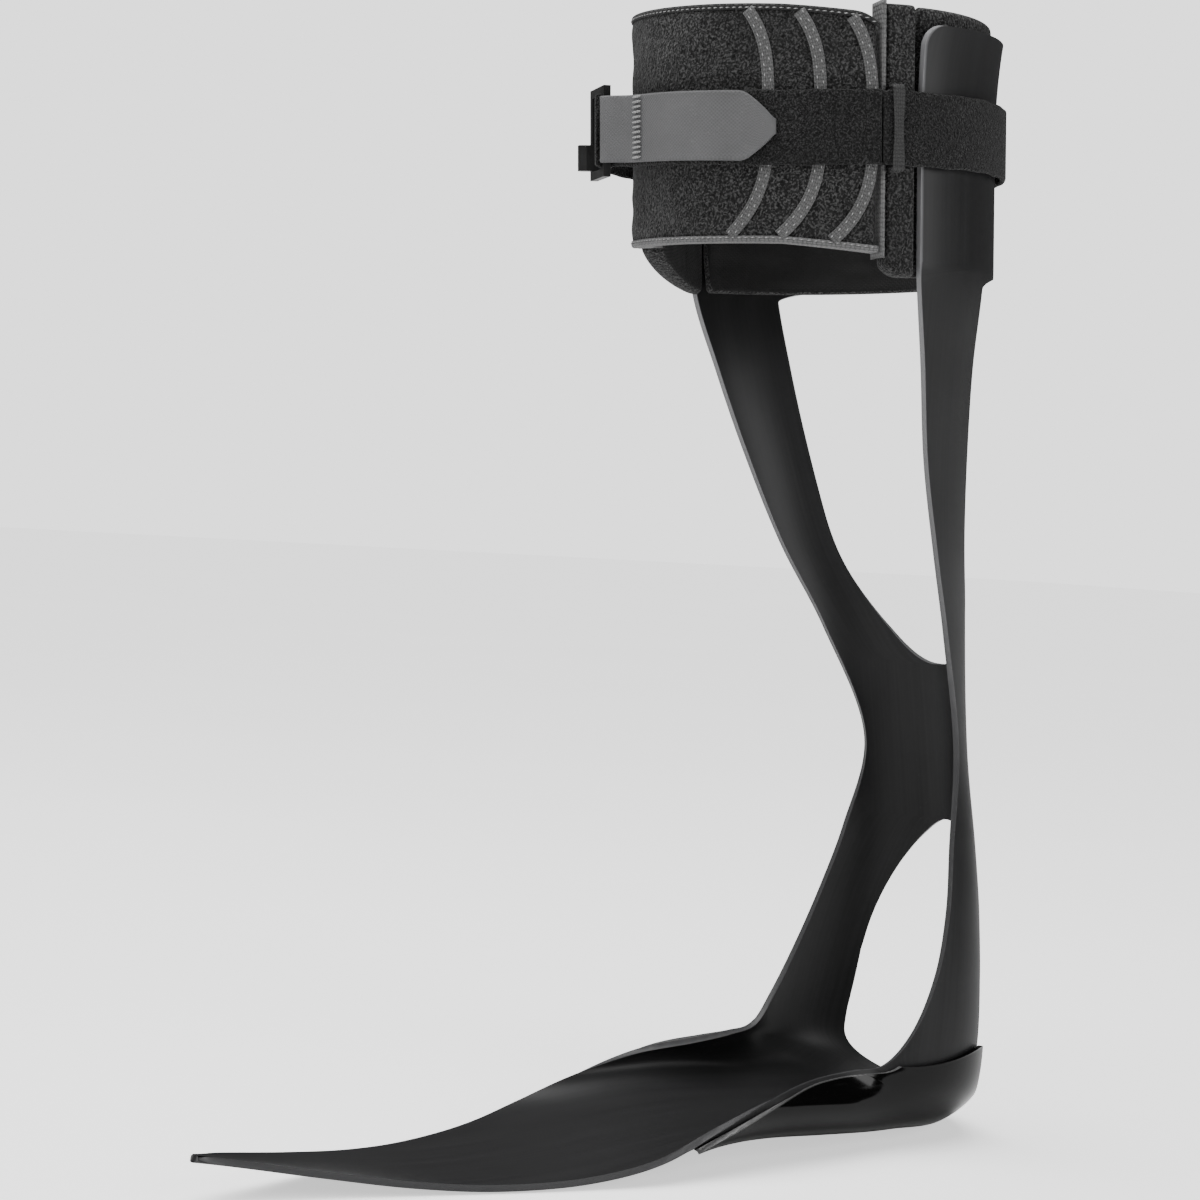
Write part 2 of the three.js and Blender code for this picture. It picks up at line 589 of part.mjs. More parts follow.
// The hook plate ends the long strap: a flat base under the ring and a low lip in its window.
// The far bar has slack behind the lip, so the ring lifts off when the strap is eased.
const LIP = 5, LIP_T = 1.5;
function hookPlate() {
  const base = -2.2 - RING_BAR, face = -RING_BAR - 0.4;
  return atBuckle(toManifold(prism([
    [LIP, base], [RING_LONG + 2.2, base], [RING_LONG + 2.2, face], [LIP + LIP_T, face],
    [LIP + LIP_T, 0.6], [LIP + LIP_T / 2, 1.0], [LIP, 0.6]], RING_LOW + 3.4, RING_TOP - 3.4)));
}

// ---------------------------------------------------------------- assembly
addMesh('carbon_shell', carbonShell(), carbon);
addMesh('heel_cover', heelCover(), gloss);
calfLiner();
flap(1);
flap(-1);
frontPad();
strapParts();
keeper();
addMesh('buckle_ring', buckleRing(), plastic);
addMesh('hook_plate', hookPlate(), plastic);

export default part;
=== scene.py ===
"""Ankle foot orthosis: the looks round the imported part.

The frame is the part's own: metres, +Z up, toes to -Y, the keeper on +X. Shapes are worked out in
millimetres as whole numpy arrays and go into the meshes in metres.
"""
import json
import math
from collections import namedtuple

import bpy
import numpy as np
from mathutils import Matrix, Vector


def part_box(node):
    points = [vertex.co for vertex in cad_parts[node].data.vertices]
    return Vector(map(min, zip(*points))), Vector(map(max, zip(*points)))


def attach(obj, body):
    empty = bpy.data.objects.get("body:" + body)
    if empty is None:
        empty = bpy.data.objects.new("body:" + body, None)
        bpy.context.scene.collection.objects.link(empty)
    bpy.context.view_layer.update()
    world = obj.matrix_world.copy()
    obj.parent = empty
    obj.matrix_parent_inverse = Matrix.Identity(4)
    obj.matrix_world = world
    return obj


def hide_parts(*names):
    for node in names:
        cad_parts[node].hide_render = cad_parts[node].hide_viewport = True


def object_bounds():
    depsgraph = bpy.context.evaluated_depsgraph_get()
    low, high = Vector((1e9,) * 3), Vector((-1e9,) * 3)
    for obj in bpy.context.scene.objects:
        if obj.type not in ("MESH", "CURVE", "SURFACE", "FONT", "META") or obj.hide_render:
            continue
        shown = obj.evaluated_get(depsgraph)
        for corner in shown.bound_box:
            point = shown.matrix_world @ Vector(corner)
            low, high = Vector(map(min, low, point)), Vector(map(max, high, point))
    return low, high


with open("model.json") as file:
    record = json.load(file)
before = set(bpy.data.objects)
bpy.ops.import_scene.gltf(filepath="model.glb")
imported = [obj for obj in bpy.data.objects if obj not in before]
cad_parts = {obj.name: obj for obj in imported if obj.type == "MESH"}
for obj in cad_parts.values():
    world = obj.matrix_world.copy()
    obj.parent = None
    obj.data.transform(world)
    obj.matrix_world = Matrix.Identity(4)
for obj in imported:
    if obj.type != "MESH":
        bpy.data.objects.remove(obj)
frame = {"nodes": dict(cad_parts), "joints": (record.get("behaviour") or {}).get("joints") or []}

CAD_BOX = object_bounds()
MM = 0.001
JOINTS = {j["name"]: j for j in frame["joints"]}
NODES = frame["nodes"]

# ------------------------------------------------------------------ camera


def place_camera():
    """A long lens 0.76 m from the calf, in front of the near side and level with the strap."""
    data = bpy.data.cameras.new("viewer")
    data.lens, data.sensor_width = 72, 36
    camera = bpy.data.objects.new("viewer", data)
    right, up, back = (0.57358, 0.81705, 0.05976), (-0.05714, -0.03287, 0.99792), (0.81716, -0.57579, 0.02783)
    turn = Matrix((right, up, back)).transposed().to_4x4()
    camera.matrix_world = Matrix.Translation((0.58672, -0.53465, 0.18776)) @ turn
    data.clip_start, data.clip_end = 0.05, 20
    bpy.context.scene.collection.objects.link(camera)
    bpy.context.scene.camera = camera


place_camera()

# ------------------------------------------------------------------ meshes from arrays


def grid_quads(rows, columns, wrap=False):
    """Corner indices of the quads between rows x columns points, and (row, column) of each corner."""
    i, j = np.meshgrid(np.arange(rows - 1), np.arange(columns if wrap else columns - 1), indexing="ij")
    i, j = i.ravel(), j.ravel()
    row = np.stack([i, i, i + 1, i + 1], 1)
    column = np.stack([j, j + 1, j + 1, j], 1)
    return row * columns + column % columns, row, column


def swept(name, rings, along, around, materials, face_material=None):
    """Rings of points (n, k, 3) joined into a closed skin; each end is closed on its own middle.

    The uv is the length along the sweep and the length round the ring, in metres.
    """
    n, k, _ = rings.shape
    ends = np.stack([rings[0].mean(0), rings[-1].mean(0)])
    quads, row, column = grid_quads(n, k, wrap=True)
    around = np.concatenate([around, [around[-1] + (around[-1] - around[-2])]])
    uv = np.stack([along[row], around[column]], -1) * MM
    j = np.arange(k)
    first = np.stack([np.full(k, n * k), (j + 1) % k, j], 1)
    end = (n - 1) * k
    last = np.stack([np.full(k, n * k + 1), end + j, end + (j + 1) % k], 1)
    caps = np.concatenate([first, last])
    cap_uv = np.zeros((2 * k, 3, 2))
    cap_uv[:k, :, 0], cap_uv[k:, :, 0] = along[0] * MM, along[-1] * MM
    cap_uv[:, :, 1] = np.tile(around[:k, None] * MM, (2, 3))
    points = np.concatenate([rings.reshape(-1, 3), ends])
    return add_piece(name, points, quads, caps, uv, cap_uv, materials, face_material)


def add_piece(name, points, quads, triangles, quad_uv, triangle_uv, materials, face_material):
    """A mesh from points in millimetres; its signed volume decides which way is out."""
    mesh = bpy.data.meshes.new(name)
    p = np.asarray(points, float) * MM
    sides = np.concatenate([quads[:, [0, 1, 2]], quads[:, [0, 2, 3]], triangles])
    a, b, c = p[sides[:, 0]], p[sides[:, 1]], p[sides[:, 2]]
    if np.einsum("ij,ij->", a, np.cross(b, c)) < 0:
        quads, triangles = quads[:, ::-1], triangles[:, ::-1]
        quad_uv, triangle_uv = quad_uv[:, ::-1], triangle_uv[:, ::-1]
    mesh.from_pydata(p, [], quads.tolist() + triangles.tolist())
    layer = mesh.uv_layers.new(name="flat")
    flat = np.concatenate([quad_uv.reshape(-1, 2), triangle_uv.reshape(-1, 2)])
    layer.data.foreach_set("uv", flat.astype(np.float32).ravel())
    for m in materials:
        mesh.materials.append(m)
    if face_material is not None:
        index = np.concatenate([face_material, np.zeros(len(triangles), int)])
        mesh.polygons.foreach_set("material_index", index.astype(np.int32))
    return smooth_object(name, mesh)


def smooth_object(name, mesh):
    """The mesh, shaded smooth, as an object in the scene."""
    mesh.polygons.foreach_set("use_smooth", np.ones(len(mesh.polygons), bool))
    mesh.update()
    piece = bpy.data.objects.new(name, mesh)
    bpy.context.scene.collection.objects.link(piece)
    return piece


def lengths(points):
    """Running length along a line of points."""
    return np.concatenate([[0], np.cumsum(np.linalg.norm(np.diff(points, axis=0), axis=1))])


def lerp(a, b, s):
    return a + (b - a) * s


def smooth_step(x, low=0.0, high=1.0):
    t = np.clip((x - low) / (high - low), 0, 1)
    return t * t * (3 - 2 * t)


def unit(vectors):
    return vectors / np.linalg.norm(vectors, axis=-1, keepdims=True)


def finish_piece(piece, body, nodes):
    """Tie a piece to its body and hide the CAD nodes that it stands for."""
    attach(piece, body)
    if nodes:
        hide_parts(*nodes)
    return piece


# ------------------------------------------------------------------ the cuff's own frame
# beta is counted from the rear towards +X, h runs up the cuff's leaning axis.
HINGE = JOINTS["front_open"]
SIDE = np.array([1.0, 0, 0])
UP = unit(np.array(HINGE["axis"]))
REAR = unit(np.cross(UP, SIDE))
HINGE_BETA, HINGE_R, HINGE_H = 110.2, 59.81, 6.0


def plane(x, y, h):
    """A point x to the side, y to the rear and h up the cuff's axis."""
    x, y, h = np.broadcast_arrays(x, y, h)
    return CUFF_BASE + x[..., None] * SIDE + y[..., None] * REAR + h[..., None] * UP


def cuff(beta, r, h):
    """A point at angle beta, radius r and height h."""
    b = np.radians(beta)
    return plane(r * np.sin(b), r * np.cos(b), h)


CUFF_BASE = np.zeros(3)
CUFF_BASE = np.array(HINGE["pos_m"]) / MM - cuff(HINGE_BETA, HINGE_R, HINGE_H)
CUFF_TOP, CUFF_LOW = 37.0, -34.0


def shell_r(h):
    """The shell's middle radius: 55.3, opening out by 2.2 towards the rim."""
    return 55.3 + 2.2 * np.clip((h - 8) / (CUFF_TOP - 8), 0, 1) ** 2


# ------------------------------------------------------------------ node groups and materials


def new_group(name, inputs, outputs):
    """A shader node group with float or vector inputs and float outputs."""
    group = bpy.data.node_groups.new(name, "ShaderNodeTree")
    for label, kind, value in inputs:
        socket = group.interface.new_socket(label, in_out="INPUT", socket_type=kind)
        if value is not None:
            socket.default_value = value
    for label, kind in outputs:
        group.interface.new_socket(label, in_out="OUTPUT", socket_type=kind)
    return group, group.nodes.new("NodeGroupInput"), group.nodes.new("NodeGroupOutput")


def node(tree, kind, links=None, **values):
    """A node with its sockets set by name or number, and some of them linked."""
    made = tree.nodes.new(kind)
    for key, value in values.items():
        setattr(made, key, value)
    for socket, source in (links or {}).items():
        target = made.inputs[socket]
        if isinstance(source, bpy.types.NodeSocket):
            tree.links.new(source, target)
        else:
            target.default_value = source
    return made


def maths(tree, operation, a, b=0.0, c=0.0):
    return node(tree, "ShaderNodeMath", {0: a, 1: b, 2: c}, operation=operation).outputs[0]


def noise(tree, place, scale, detail):
    return node(tree, "ShaderNodeTexNoise", {"Vector": place, "Scale": scale, "Detail": detail}).outputs[0]


def drawn_out(tree, place, scale, detail):
    """Noise on a place scaled by axis: a small scale draws it out into streaks."""
    mapped = node(tree, "ShaderNodeMapping", {"Vector": place, "Scale": scale})
    return noise(tree, mapped.outputs[0], 1.0, detail)


def remap(tree, value, low, high, to_low=0.0, to_high=1.0):
    """Value from low..high to to_low..to_high, held at both ends."""
    sockets = {"Value": value, "From Min": low, "From Max": high, "To Min": to_low, "To Max": to_high}
    return node(tree, "ShaderNodeMapRange", sockets).outputs[0]


FLOAT, VECTOR = "NodeSocketFloat", "NodeSocketVector"


def lint_group():
    """Specks of lint and dust: a few small bright dots where a fine noise peaks."""
    group, start, end = new_group("lint", [("Place", VECTOR, None), ("Density", FLOAT, 0.5)],
                                  [("Amount", FLOAT)])
    peak = remap(group, noise(group, start.outputs["Place"], 900.0, 2.0), 0.66, 0.8)
    area = remap(group, noise(group, start.outputs["Place"], 35.0, 3.0), 0.42, 0.68)
    amount = maths(group, "MULTIPLY", maths(group, "MULTIPLY", peak, area), start.outputs["Density"])
    group.links.new(amount, end.inputs["Amount"])
    return group


def pile_group():
    """Brushed loop pile: small curled cells of two sizes, with a slow change of lie over them."""
    group, start, end = new_group("loop_pile", [("Place", VECTOR, None), ("Size", FLOAT, 1.0)],
                                  [("Height", FLOAT), ("Tone", FLOAT)])
    place = node(group, "ShaderNodeVectorMath", {0: start.outputs["Place"]}, operation="SCALE")
    group.links.new(start.outputs["Size"], place.inputs["Scale"])
    place = place.outputs[0]
    swirl = node(group, "ShaderNodeTexNoise", {"Vector": place, "Scale": 240.0, "Detail": 3.0})
    moved = node(group, "ShaderNodeVectorMath", {0: swirl.outputs["Color"], 1: (0.0022, 0.0022, 0.0022)},
                 operation="MULTIPLY")
    bent = node(group, "ShaderNodeVectorMath", {0: place, 1: moved.outputs[0]}, operation="ADD").outputs[0]
    loops, curls = (node(group, "ShaderNodeTexVoronoi", {"Vector": bent, "Scale": scale}).outputs["Distance"]
                    for scale in (1250.0, 640.0))
    sunk = maths(group, "MULTIPLY_ADD", loops, 0.7, maths(group, "MULTIPLY", curls, 0.5))
    group.links.new(maths(group, "SUBTRACT", 1.0, sunk), end.inputs["Height"])
    bright = remap(group, noise(group, bent, 1500.0, 1.0), 0.46, 0.66)
    lie = maths(group, "MULTIPLY", noise(group, place, 22.0, 4.0), 1.7)
    tone = maths(group, "MULTIPLY_ADD", curls, 0.3, maths(group, "MULTIPLY", bright, lie))
    group.links.new(tone, end.inputs["Tone"])
    return group


def weave_group():
    """Plain weave on the flat uv: two crossed rows of round threads, one over and one under."""
    sizes = [("Along", FLOAT, 0.0008), ("Across", FLOAT, 0.0008)]
    group, start, end = new_group("weave", [("Flat", VECTOR, None), *sizes], [("Height", FLOAT)])
    parts = node(group, "ShaderNodeSeparateXYZ", {0: start.outputs["Flat"]})
    u = maths(group, "DIVIDE", parts.outputs[0], start.outputs["Along"])
    v = maths(group, "DIVIDE", parts.outputs[1], start.outputs["Across"])
    wave_u, wave_v = (maths(group, "ABSOLUTE", maths(group, "SINE", maths(group, "MULTIPLY", w, math.pi)))
                      for w in (u, v))
    square = maths(group, "ADD", maths(group, "FLOOR", u), maths(group, "FLOOR", v))
    over = maths(group, "FLOORED_MODULO", square, 2.0)
    under = maths(group, "SUBTRACT", 1.0, over)
    risen = (maths(group, "MULTIPLY", wave_u, over), maths(group, "MULTIPLY", wave_v, under))
    group.links.new(maths(group, "ADD", *risen), end.inputs["Height"])
    return group


LINT, PILE, WEAVE = lint_group(), pile_group(), weave_group()


def new_material(name, **constants):
    """A material with its node tree, its Principled shader, an object place and the piece's flat uv."""
    material = bpy.data.materials.new(name)
    material.use_nodes = True
    tree = material.node_tree
    shader = next(n for n in tree.nodes if n.type == "BSDF_PRINCIPLED")
    for socket, value in constants.items():
        shader.inputs[socket.replace("_", " ")].default_value = value
    place = node(tree, "ShaderNodeTexCoord").outputs["Object"]
    flat = node(tree, "ShaderNodeUVMap", uv_map="flat").outputs[0]
    return material, tree, shader, place, flat


def grey_ramp(tree, factor, dark, light, blue=1.0):
    """Grey between dark and light by factor, its blue scaled a little; factors past 1 go on."""
    ramp = node(tree, "ShaderNodeMapRange", {"Value": factor, "To Min": dark, "To Max": light}, clamp=False)
    colour = node(tree, "ShaderNodeCombineColor", {0: ramp.outputs[0], 1: ramp.outputs[0]})
    tree.links.new(maths(tree, "MULTIPLY", ramp.outputs[0], blue), colour.inputs[2])
    return colour.outputs[0]


def surfaced(tree, shader, colour, roughness, height, strength, distance):
    """Link colour and roughness, and press height into the normal."""
    tree.links.new(colour, shader.inputs["Base Color"])
    tree.links.new(roughness, shader.inputs["Roughness"])
    bump = node(tree, "ShaderNodeBump", {"Height": height, "Strength": strength, "Distance": distance})
    tree.links.new(bump.outputs[0], shader.inputs["Normal"])


def use_group(tree, group, **sockets):
    return node(tree, "ShaderNodeGroup", sockets, node_tree=group)


def lint_on(tree, place, density):
    return use_group(tree, LINT, Place=place, Density=density).outputs[0]


def rim_of(tree):
    """The piece's rim attribute: 1 on cut edges."""
    return node(tree, "ShaderNodeAttribute", attribute_name="rim").outputs["Fac"]


def laminate_material():
    """Satin carbon: fine streaks down the leg, slow clouding, and a painted highlight on the cut edge that
    grows brighter towards the cuff.
    """
    m, tree, shader, place, flat = new_material("satin_carbon", Metallic=0.0, Coat_Roughness=0.34,
                                                Specular_IOR_Level=0.15)
    streaks = drawn_out(tree, flat, (14.0, 900.0, 1.0), 4.0)
    tows = drawn_out(tree, flat, (6.0, 170.0, 1.0), 2.0)
    cloud = noise(tree, place, 16.0, 3.0)
    coarse = maths(tree, "MULTIPLY_ADD", tows, 0.35, maths(tree, "MULTIPLY", cloud, 0.3))
    mixed = maths(tree, "MULTIPLY_ADD", streaks, 0.45, coarse)
    height = node(tree, "ShaderNodeSeparateXYZ", {"Vector": place}).outputs["Z"]
    # painted highlight: the cut rim is lightened in the base colour, faintly low down and strongly up by the
    # cuff
    painted_rim_highlight = remap(tree, height, 0.12, 0.26, 1.6, 9.0)
    edged = maths(tree, "ADD", mixed, maths(tree, "MULTIPLY", rim_of(tree), painted_rim_highlight))
    tone = maths(tree, "ADD", edged, lint_on(tree, place, 0.3))
    tree.links.new(maths(tree, "MULTIPLY", cloud, 0.12), shader.inputs["Coat Weight"])
    relief = maths(tree, "ADD", streaks, maths(tree, "MULTIPLY", tows, 1.5))
    surfaced(tree, shader, grey_ramp(tree, tone, 0.003, 0.022, 1.03),
             maths(tree, "MULTIPLY_ADD", mixed, 0.22, 0.30), relief, 0.10, 0.00012)
    return m


def resin_material():
    """Glossy black resin: nearly flat, a slow ripple, a light cut rim and a few fine scuffs."""
    m, tree, shader, place, _ = new_material("gloss_black", Coat_Weight=0.05, Coat_Roughness=0.05,
                                             Metallic=0.0, Specular_IOR_Level=0.16)
    worn = remap(tree, drawn_out(tree, place, (260.0, 40.0, 500.0), 3.0), 0.62, 0.8)
    dusty = maths(tree, "MULTIPLY_ADD", worn, 0.1, lint_on(tree, place, 0.2))
    tone = maths(tree, "ADD", maths(tree, "MULTIPLY", rim_of(tree), 3.0), dusty)
    surfaced(tree, shader, grey_ramp(tree, tone, 0.0006, 0.03),
             maths(tree, "MULTIPLY_ADD", worn, 0.2, 0.13), noise(tree, place, 60.0, 1.0), 0.06, 0.0004)
    return m


def loop_material(name, dark, light, size=1.0):
    """Brushed loop fabric: curled pile with a soft sheen and lint."""
    m, tree, shader, place, _ = new_material(name, Sheen_Weight=0.06, Sheen_Roughness=0.5,
                                             Specular_IOR_Level=0.12)
    pile = use_group(tree, PILE, Place=place, Size=size).outputs
    tone = maths(tree, "ADD", pile["Tone"], lint_on(tree, place, 0.5))
    surfaced(tree, shader, grey_ramp(tree, tone, dark, light),
             maths(tree, "MULTIPLY_ADD", pile["Tone"], 0.15, 0.8), pile["Height"], 0.9, 0.0007)
    return m


def knit_material():
    """Smooth knitted lining: fine ribs with a slight stretch pattern and a low sheen."""
    m, tree, shader, place, flat = new_material("knit_lining", Sheen_Weight=0.06, Sheen_Roughness=0.4,
                                                Specular_IOR_Level=0.2)
    ribs = use_group(tree, WEAVE, Flat=flat, Along=0.0009, Across=0.0006).outputs[0]
    cloud = noise(tree, place, 45.0, 4.0)
    knitted = maths(tree, "MULTIPLY_ADD", ribs, 0.3, maths(tree, "MULTIPLY", cloud, 0.6))
    tone = maths(tree, "ADD", knitted, lint_on(tree, place, 0.4))
    surfaced(tree, shader, grey_ramp(tree, tone, 0.002, 0.012),
             maths(tree, "MULTIPLY_ADD", cloud, 0.2, 0.5), ribs, 0.5, 0.0002)
    return m


def tape_material(name, dark, light, along=0.0011, across=0.0007):
    """Flat woven tape: crossed threads, slightly shiny, paler where they rise."""
    m, tree, shader, place, flat = new_material(name, Sheen_Weight=0.05, Sheen_Roughness=0.5,
                                                Specular_IOR_Level=0.15)
    weave = use_group(tree, WEAVE, Flat=flat, Along=along, Across=across).outputs[0]
    cloud = maths(tree, "MULTIPLY", noise(tree, place, 120.0, 3.0), 0.5)
    surfaced(tree, shader, grey_ramp(tree, maths(tree, "MULTIPLY_ADD", weave, 0.55, cloud), dark, light),
             maths(tree, "MULTIPLY_ADD", weave, -0.15, 0.75), weave, 0.8, 0.0003)
    return m


def hook_material(row=0.0013, pitch=0.0011):
    """Grey hook tape: rows of tiny moulded hooks on a matt base, row and pitch apart."""
    m, tree, shader, place, flat = new_material("hook_grey", Metallic=0.0, Specular_IOR_Level=0.15)
    parts = node(tree, "ShaderNodeSeparateXYZ", {0: flat})
    u, v = (maths(tree, "SINE", maths(tree, "MULTIPLY", parts.outputs[k], 2 * math.pi / step))
            for k, step in enumerate((row, pitch)))
    hooks = maths(tree, "MULTIPLY_ADD", maths(tree, "MULTIPLY", u, v), 0.5, 0.5)
    cloud = noise(tree, place, 70.0, 4.0)
    moulded = maths(tree, "MULTIPLY_ADD", hooks, 0.3, maths(tree, "MULTIPLY", cloud, 0.6))
    tone = maths(tree, "ADD", moulded, lint_on(tree, place, 0.6))
    surfaced(tree, shader, grey_ramp(tree, tone, 0.065, 0.14, 1.02),
             maths(tree, "MULTIPLY_ADD", cloud, 0.2, 0.55), hooks, 0.45, 0.00025)
    return m


def thread_material(name, dark, light, twist=0.0009):
    """Twisted sewing thread: slanting strands along each stitch, one every twist."""
    m, tree, shader, _, flat = new_material(name, Sheen_Weight=0.08, Specular_IOR_Level=0.2)
    parts = node(tree, "ShaderNodeSeparateXYZ", {0: flat})
    round_it = maths(tree, "MULTIPLY", parts.outputs[1], 6000.0)
    slant = maths(tree, "MULTIPLY_ADD", parts.outputs[0], 2 * math.pi / twist, round_it)
    strand = maths(tree, "MULTIPLY_ADD", maths(tree, "SINE", slant), 0.5, 0.5)
    surfaced(tree, shader, grey_ramp(tree, strand, dark, light),
             maths(tree, "MULTIPLY_ADD", strand, -0.2, 0.7), strand, 0.6, 0.0002)
    return m


def moulded_material():
    """Moulded black plastic: fine spark grain under a slow clouding, with lint."""
    m, tree, shader, place, _ = new_material("moulded_black", Specular_IOR_Level=0.3)
    cloud = noise(tree, place, 140.0, 3.0)
    tone = maths(tree, "ADD", cloud, lint_on(tree, place, 0.4))
    surfaced(tree, shader, grey_ramp(tree, tone, 0.006, 0.03),
             maths(tree, "MULTIPLY_ADD", cloud, 0.25, 0.2), noise(tree, place, 2600.0, 2.0), 0.2, 0.00006)
    return m


CARBON = laminate_material()
RESIN = resin_material()
LOOP = loop_material("loop_black", 0.0006, 0.055)
WEBBING = loop_material("strap_loop_black", 0.0005, 0.03, 1.25)
LINING = knit_material()
TAPE = tape_material("seam_tape_grey", 0.03, 0.13)
KEEPER = tape_material("keeper_grey", 0.012, 0.05)
EDGING = tape_material("edge_tape_grey", 0.04, 0.16, 0.0014, 0.0008)
DARK_EDGING = tape_material("edge_tape_black", 0.006, 0.03, 0.0014, 0.0008)
HOOK = hook_material()
THREAD = thread_material("thread_grey", 0.16, 0.36)
PLASTIC = moulded_material()

# ------------------------------------------------------------------ carbon shell and heel cover
# Rows below the cuff: half width, front edge y and z, rear line y and z.
STATIONS = np.array([
    [50.0, -43.6, 244.0, 7.0, 246.0], [43.4, -33.8, 215.6, 9.0, 217.0], [37.4, -21.8, 188.0, 11.5, 188.5],
    [29.7, -7.8, 161.4, 16.0, 161.5], [22.1, 7.2, 124.0, 23.0, 124.0], [26.1, 3.9, 94.0, 28.0, 94.0],
    [30.7, -0.2, 73.5, 30.2, 71.0], [34.0, -6.6, 54.0, 31.8, 49.0], [34.6, -16.0, 36.5, 32.0, 28.0],
    [32.6, -25.0, 27.2, 30.0, 12.0], [30.0, -37.5, 25.4, 19.0, 3.2], [30.2, -52.0, 23.8, -3.0, 2.5],
    [34.5, -71.5, 20.8, -33.0, 3.8], [37.4, -94.0, 14.2, -69.0, 6.2], [37.8, -115.0, 6.8, -105.0, 4.6],
    [33.4, -136.0, 2.6, -133.0, 2.2], [26.2, -162.0, 1.4, -162.0, 1.1], [19.0, -185.0, 2.9, -187.0, 2.5],
    [11.0, -211.0, 6.6, -212.5, 6.2], [1.8, -244.0, 12.2, -245.4, 11.9]])
SHELL_FRONT, LAMINATE, COVER, SHEET_COLUMNS = 96.0, 2.0, 1.5, 34
WRAP_LIMIT, WRAP_SOFT = math.radians(117), 0.06
CUFF_ROUND, CORNER_DRAW = 0.09, 0.075
COVER_START, COVER_WING, COVER_FADE, COVER_FRONT, COVER_GAP = 10.05, 1.0, 3.4, 15.45, 0.45


def cuff_edge(h):
    return cuff(SHELL_FRONT, shell_r(h), h)


def cuff_rear(h):
    return cuff(0.0, shell_r(h), h)


LEAD = np.array([-10.0, CUFF_LOW])
EDGE_LINE = np.concatenate([cuff_edge(LEAD), STATIONS[:, :3]])
REAR_LINE = np.concatenate([cuff_rear(LEAD), np.c_[np.zeros(len(STATIONS)), STATIONS[:, 3:]]])
SPANS = len(EDGE_LINE) - 1


def smooth_line(points, t):
    """The centripetal Catmull-Rom curve through points, at t counted in points."""
    ends = np.concatenate([[2 * points[0] - points[1]], points, [2 * points[-1] - points[-2]]])
    i = np.clip(np.floor(t).astype(int), 0, len(points) - 2)
    w = (t - i)[..., None]
    p0, p1, p2, p3 = (ends[i + k] for k in range(4))
    pairs = ((p0, p1), (p1, p2), (p2, p3))
    d0, d1, d2 = (np.sqrt(np.linalg.norm(b - a, axis=-1, keepdims=True)) for a, b in pairs)
    m1 = ((p1 - p0) / d0 - (p2 - p0) / (d0 + d1) + (p2 - p1) / d1) * d1
    m2 = ((p2 - p1) / d1 - (p3 - p1) / (d1 + d2) + (p3 - p2) / d2) * d1
    return p1 + w * m1 + w**2 * (-3 * p1 + 3 * p2 - 2 * m1 - m2) + w**3 * (2 * p1 - 2 * p2 + m1 + m2)


def section(t):
    """Front edge and rear line at t; t below 1 lies in the cuff."""
    h = CUFF_TOP + (CUFF_LOW - CUFF_TOP) * np.clip(t, 0, 1)
    low = np.clip(t, 1, SPANS)
    inside = (t < 1)[..., None]
    return (np.where(inside, cuff_edge(h), smooth_line(EDGE_LINE, low)),
            np.where(inside, cuff_rear(h), smooth_line(REAR_LINE, low)))


def shell_point(t, v):
    """The round arc through both front edges (v = -1, 1) and the rear line (v = 0).

    Half the arc's angle is twice the arctangent of its depth over its half width, softly held under
    WRAP_LIMIT.
    """
    edge, rear = section(t)
    middle = edge * np.array([0, 1.0, 1.0])
    depth = np.maximum(np.linalg.norm(middle - rear, axis=-1), 0.2)
    full = np.exp(-2 * np.arctan(depth / edge[..., 0]) / WRAP_SOFT)
    wrap = -WRAP_SOFT * np.log(full + math.exp(-WRAP_LIMIT / WRAP_SOFT))
    side = edge[..., 0] * np.sin(wrap * v) / np.sin(wrap)
    forward = (1 - np.cos(wrap * v)) / (1 - np.cos(wrap))
    return side[..., None] * SIDE + rear + (middle - rear) * forward[..., None]


def shell_at(t, v, offset):
    """A point offset outwards from the shell's middle surface."""
    e = 0.01
    tc, vc = np.clip(t, e, SPANS - e), np.clip(v, -1 + e, 1 - e)
    along = shell_point(tc + e, vc) - shell_point(tc - e, vc)
    across = shell_point(tc, vc + e) - shell_point(tc, vc - e)
    return shell_point(t, v) + unit(np.cross(across, along)) * np.asarray(offset)[..., None]


def rear_station(z, low, high):
    """The t between low and high at which the rear line is at height z."""
    t = np.linspace(low, high, 4001)
    return float(t[np.argmin(np.abs(section(t)[1][:, 2] - z))])


# The rear openings, in t: both ends, half width in v, and each end's round length and power.
Opening = namedtuple("Opening", "top low width top_round low_round top_power low_power")
UPPER = Opening(rear_station(278, 0, 1), rear_station(151, 5, 6), 0.655, 0.2, 1.7, 2.0, 2.4)
HEEL = Opening(rear_station(99, 6, 7), rear_station(8, 10, 12), 0.575, 1.9, 0.95, 2.0, 2.4)


def round_end(d, length, power):
    """0 at the end of an opening and 1 past its rounded stretch."""
    k = np.clip(1 - d / length, 0, 1)
    return (1 - k**power) ** (1 / power)


def opening_half(t):
    """Half width of the rear openings, in v; the heel's narrows towards its lower end."""
    total = np.zeros_like(t)
    taper = np.where(t > 7, 1 - 0.14 * np.clip((t - 9) / 2, 0, 1), 1.0)
    for o in (UPPER, HEEL):
        half = o.width * taper * round_end(t - o.top, o.top_round, o.top_power)
        half = half * round_end(o.low - t, o.low_round, o.low_power)
        total = np.where((t > o.top) & (t < o.low), half, total)
    return total


def stations(start, *stretches):
    """Values of t from start on. Each stretch is (end, steps, the end where its steps draw together)."""
    values = [[start]]
    for end, steps, close in stretches:
        s = np.linspace(0, 1, steps + 1)[1:]
        if close == "start":
            s = 1 - np.cos(math.pi * s / 2)
        elif close == "end":
            s = np.sin(math.pi * s / 2)
        values.append(lerp(start, end, s))
        start = end
    return np.concatenate(values)


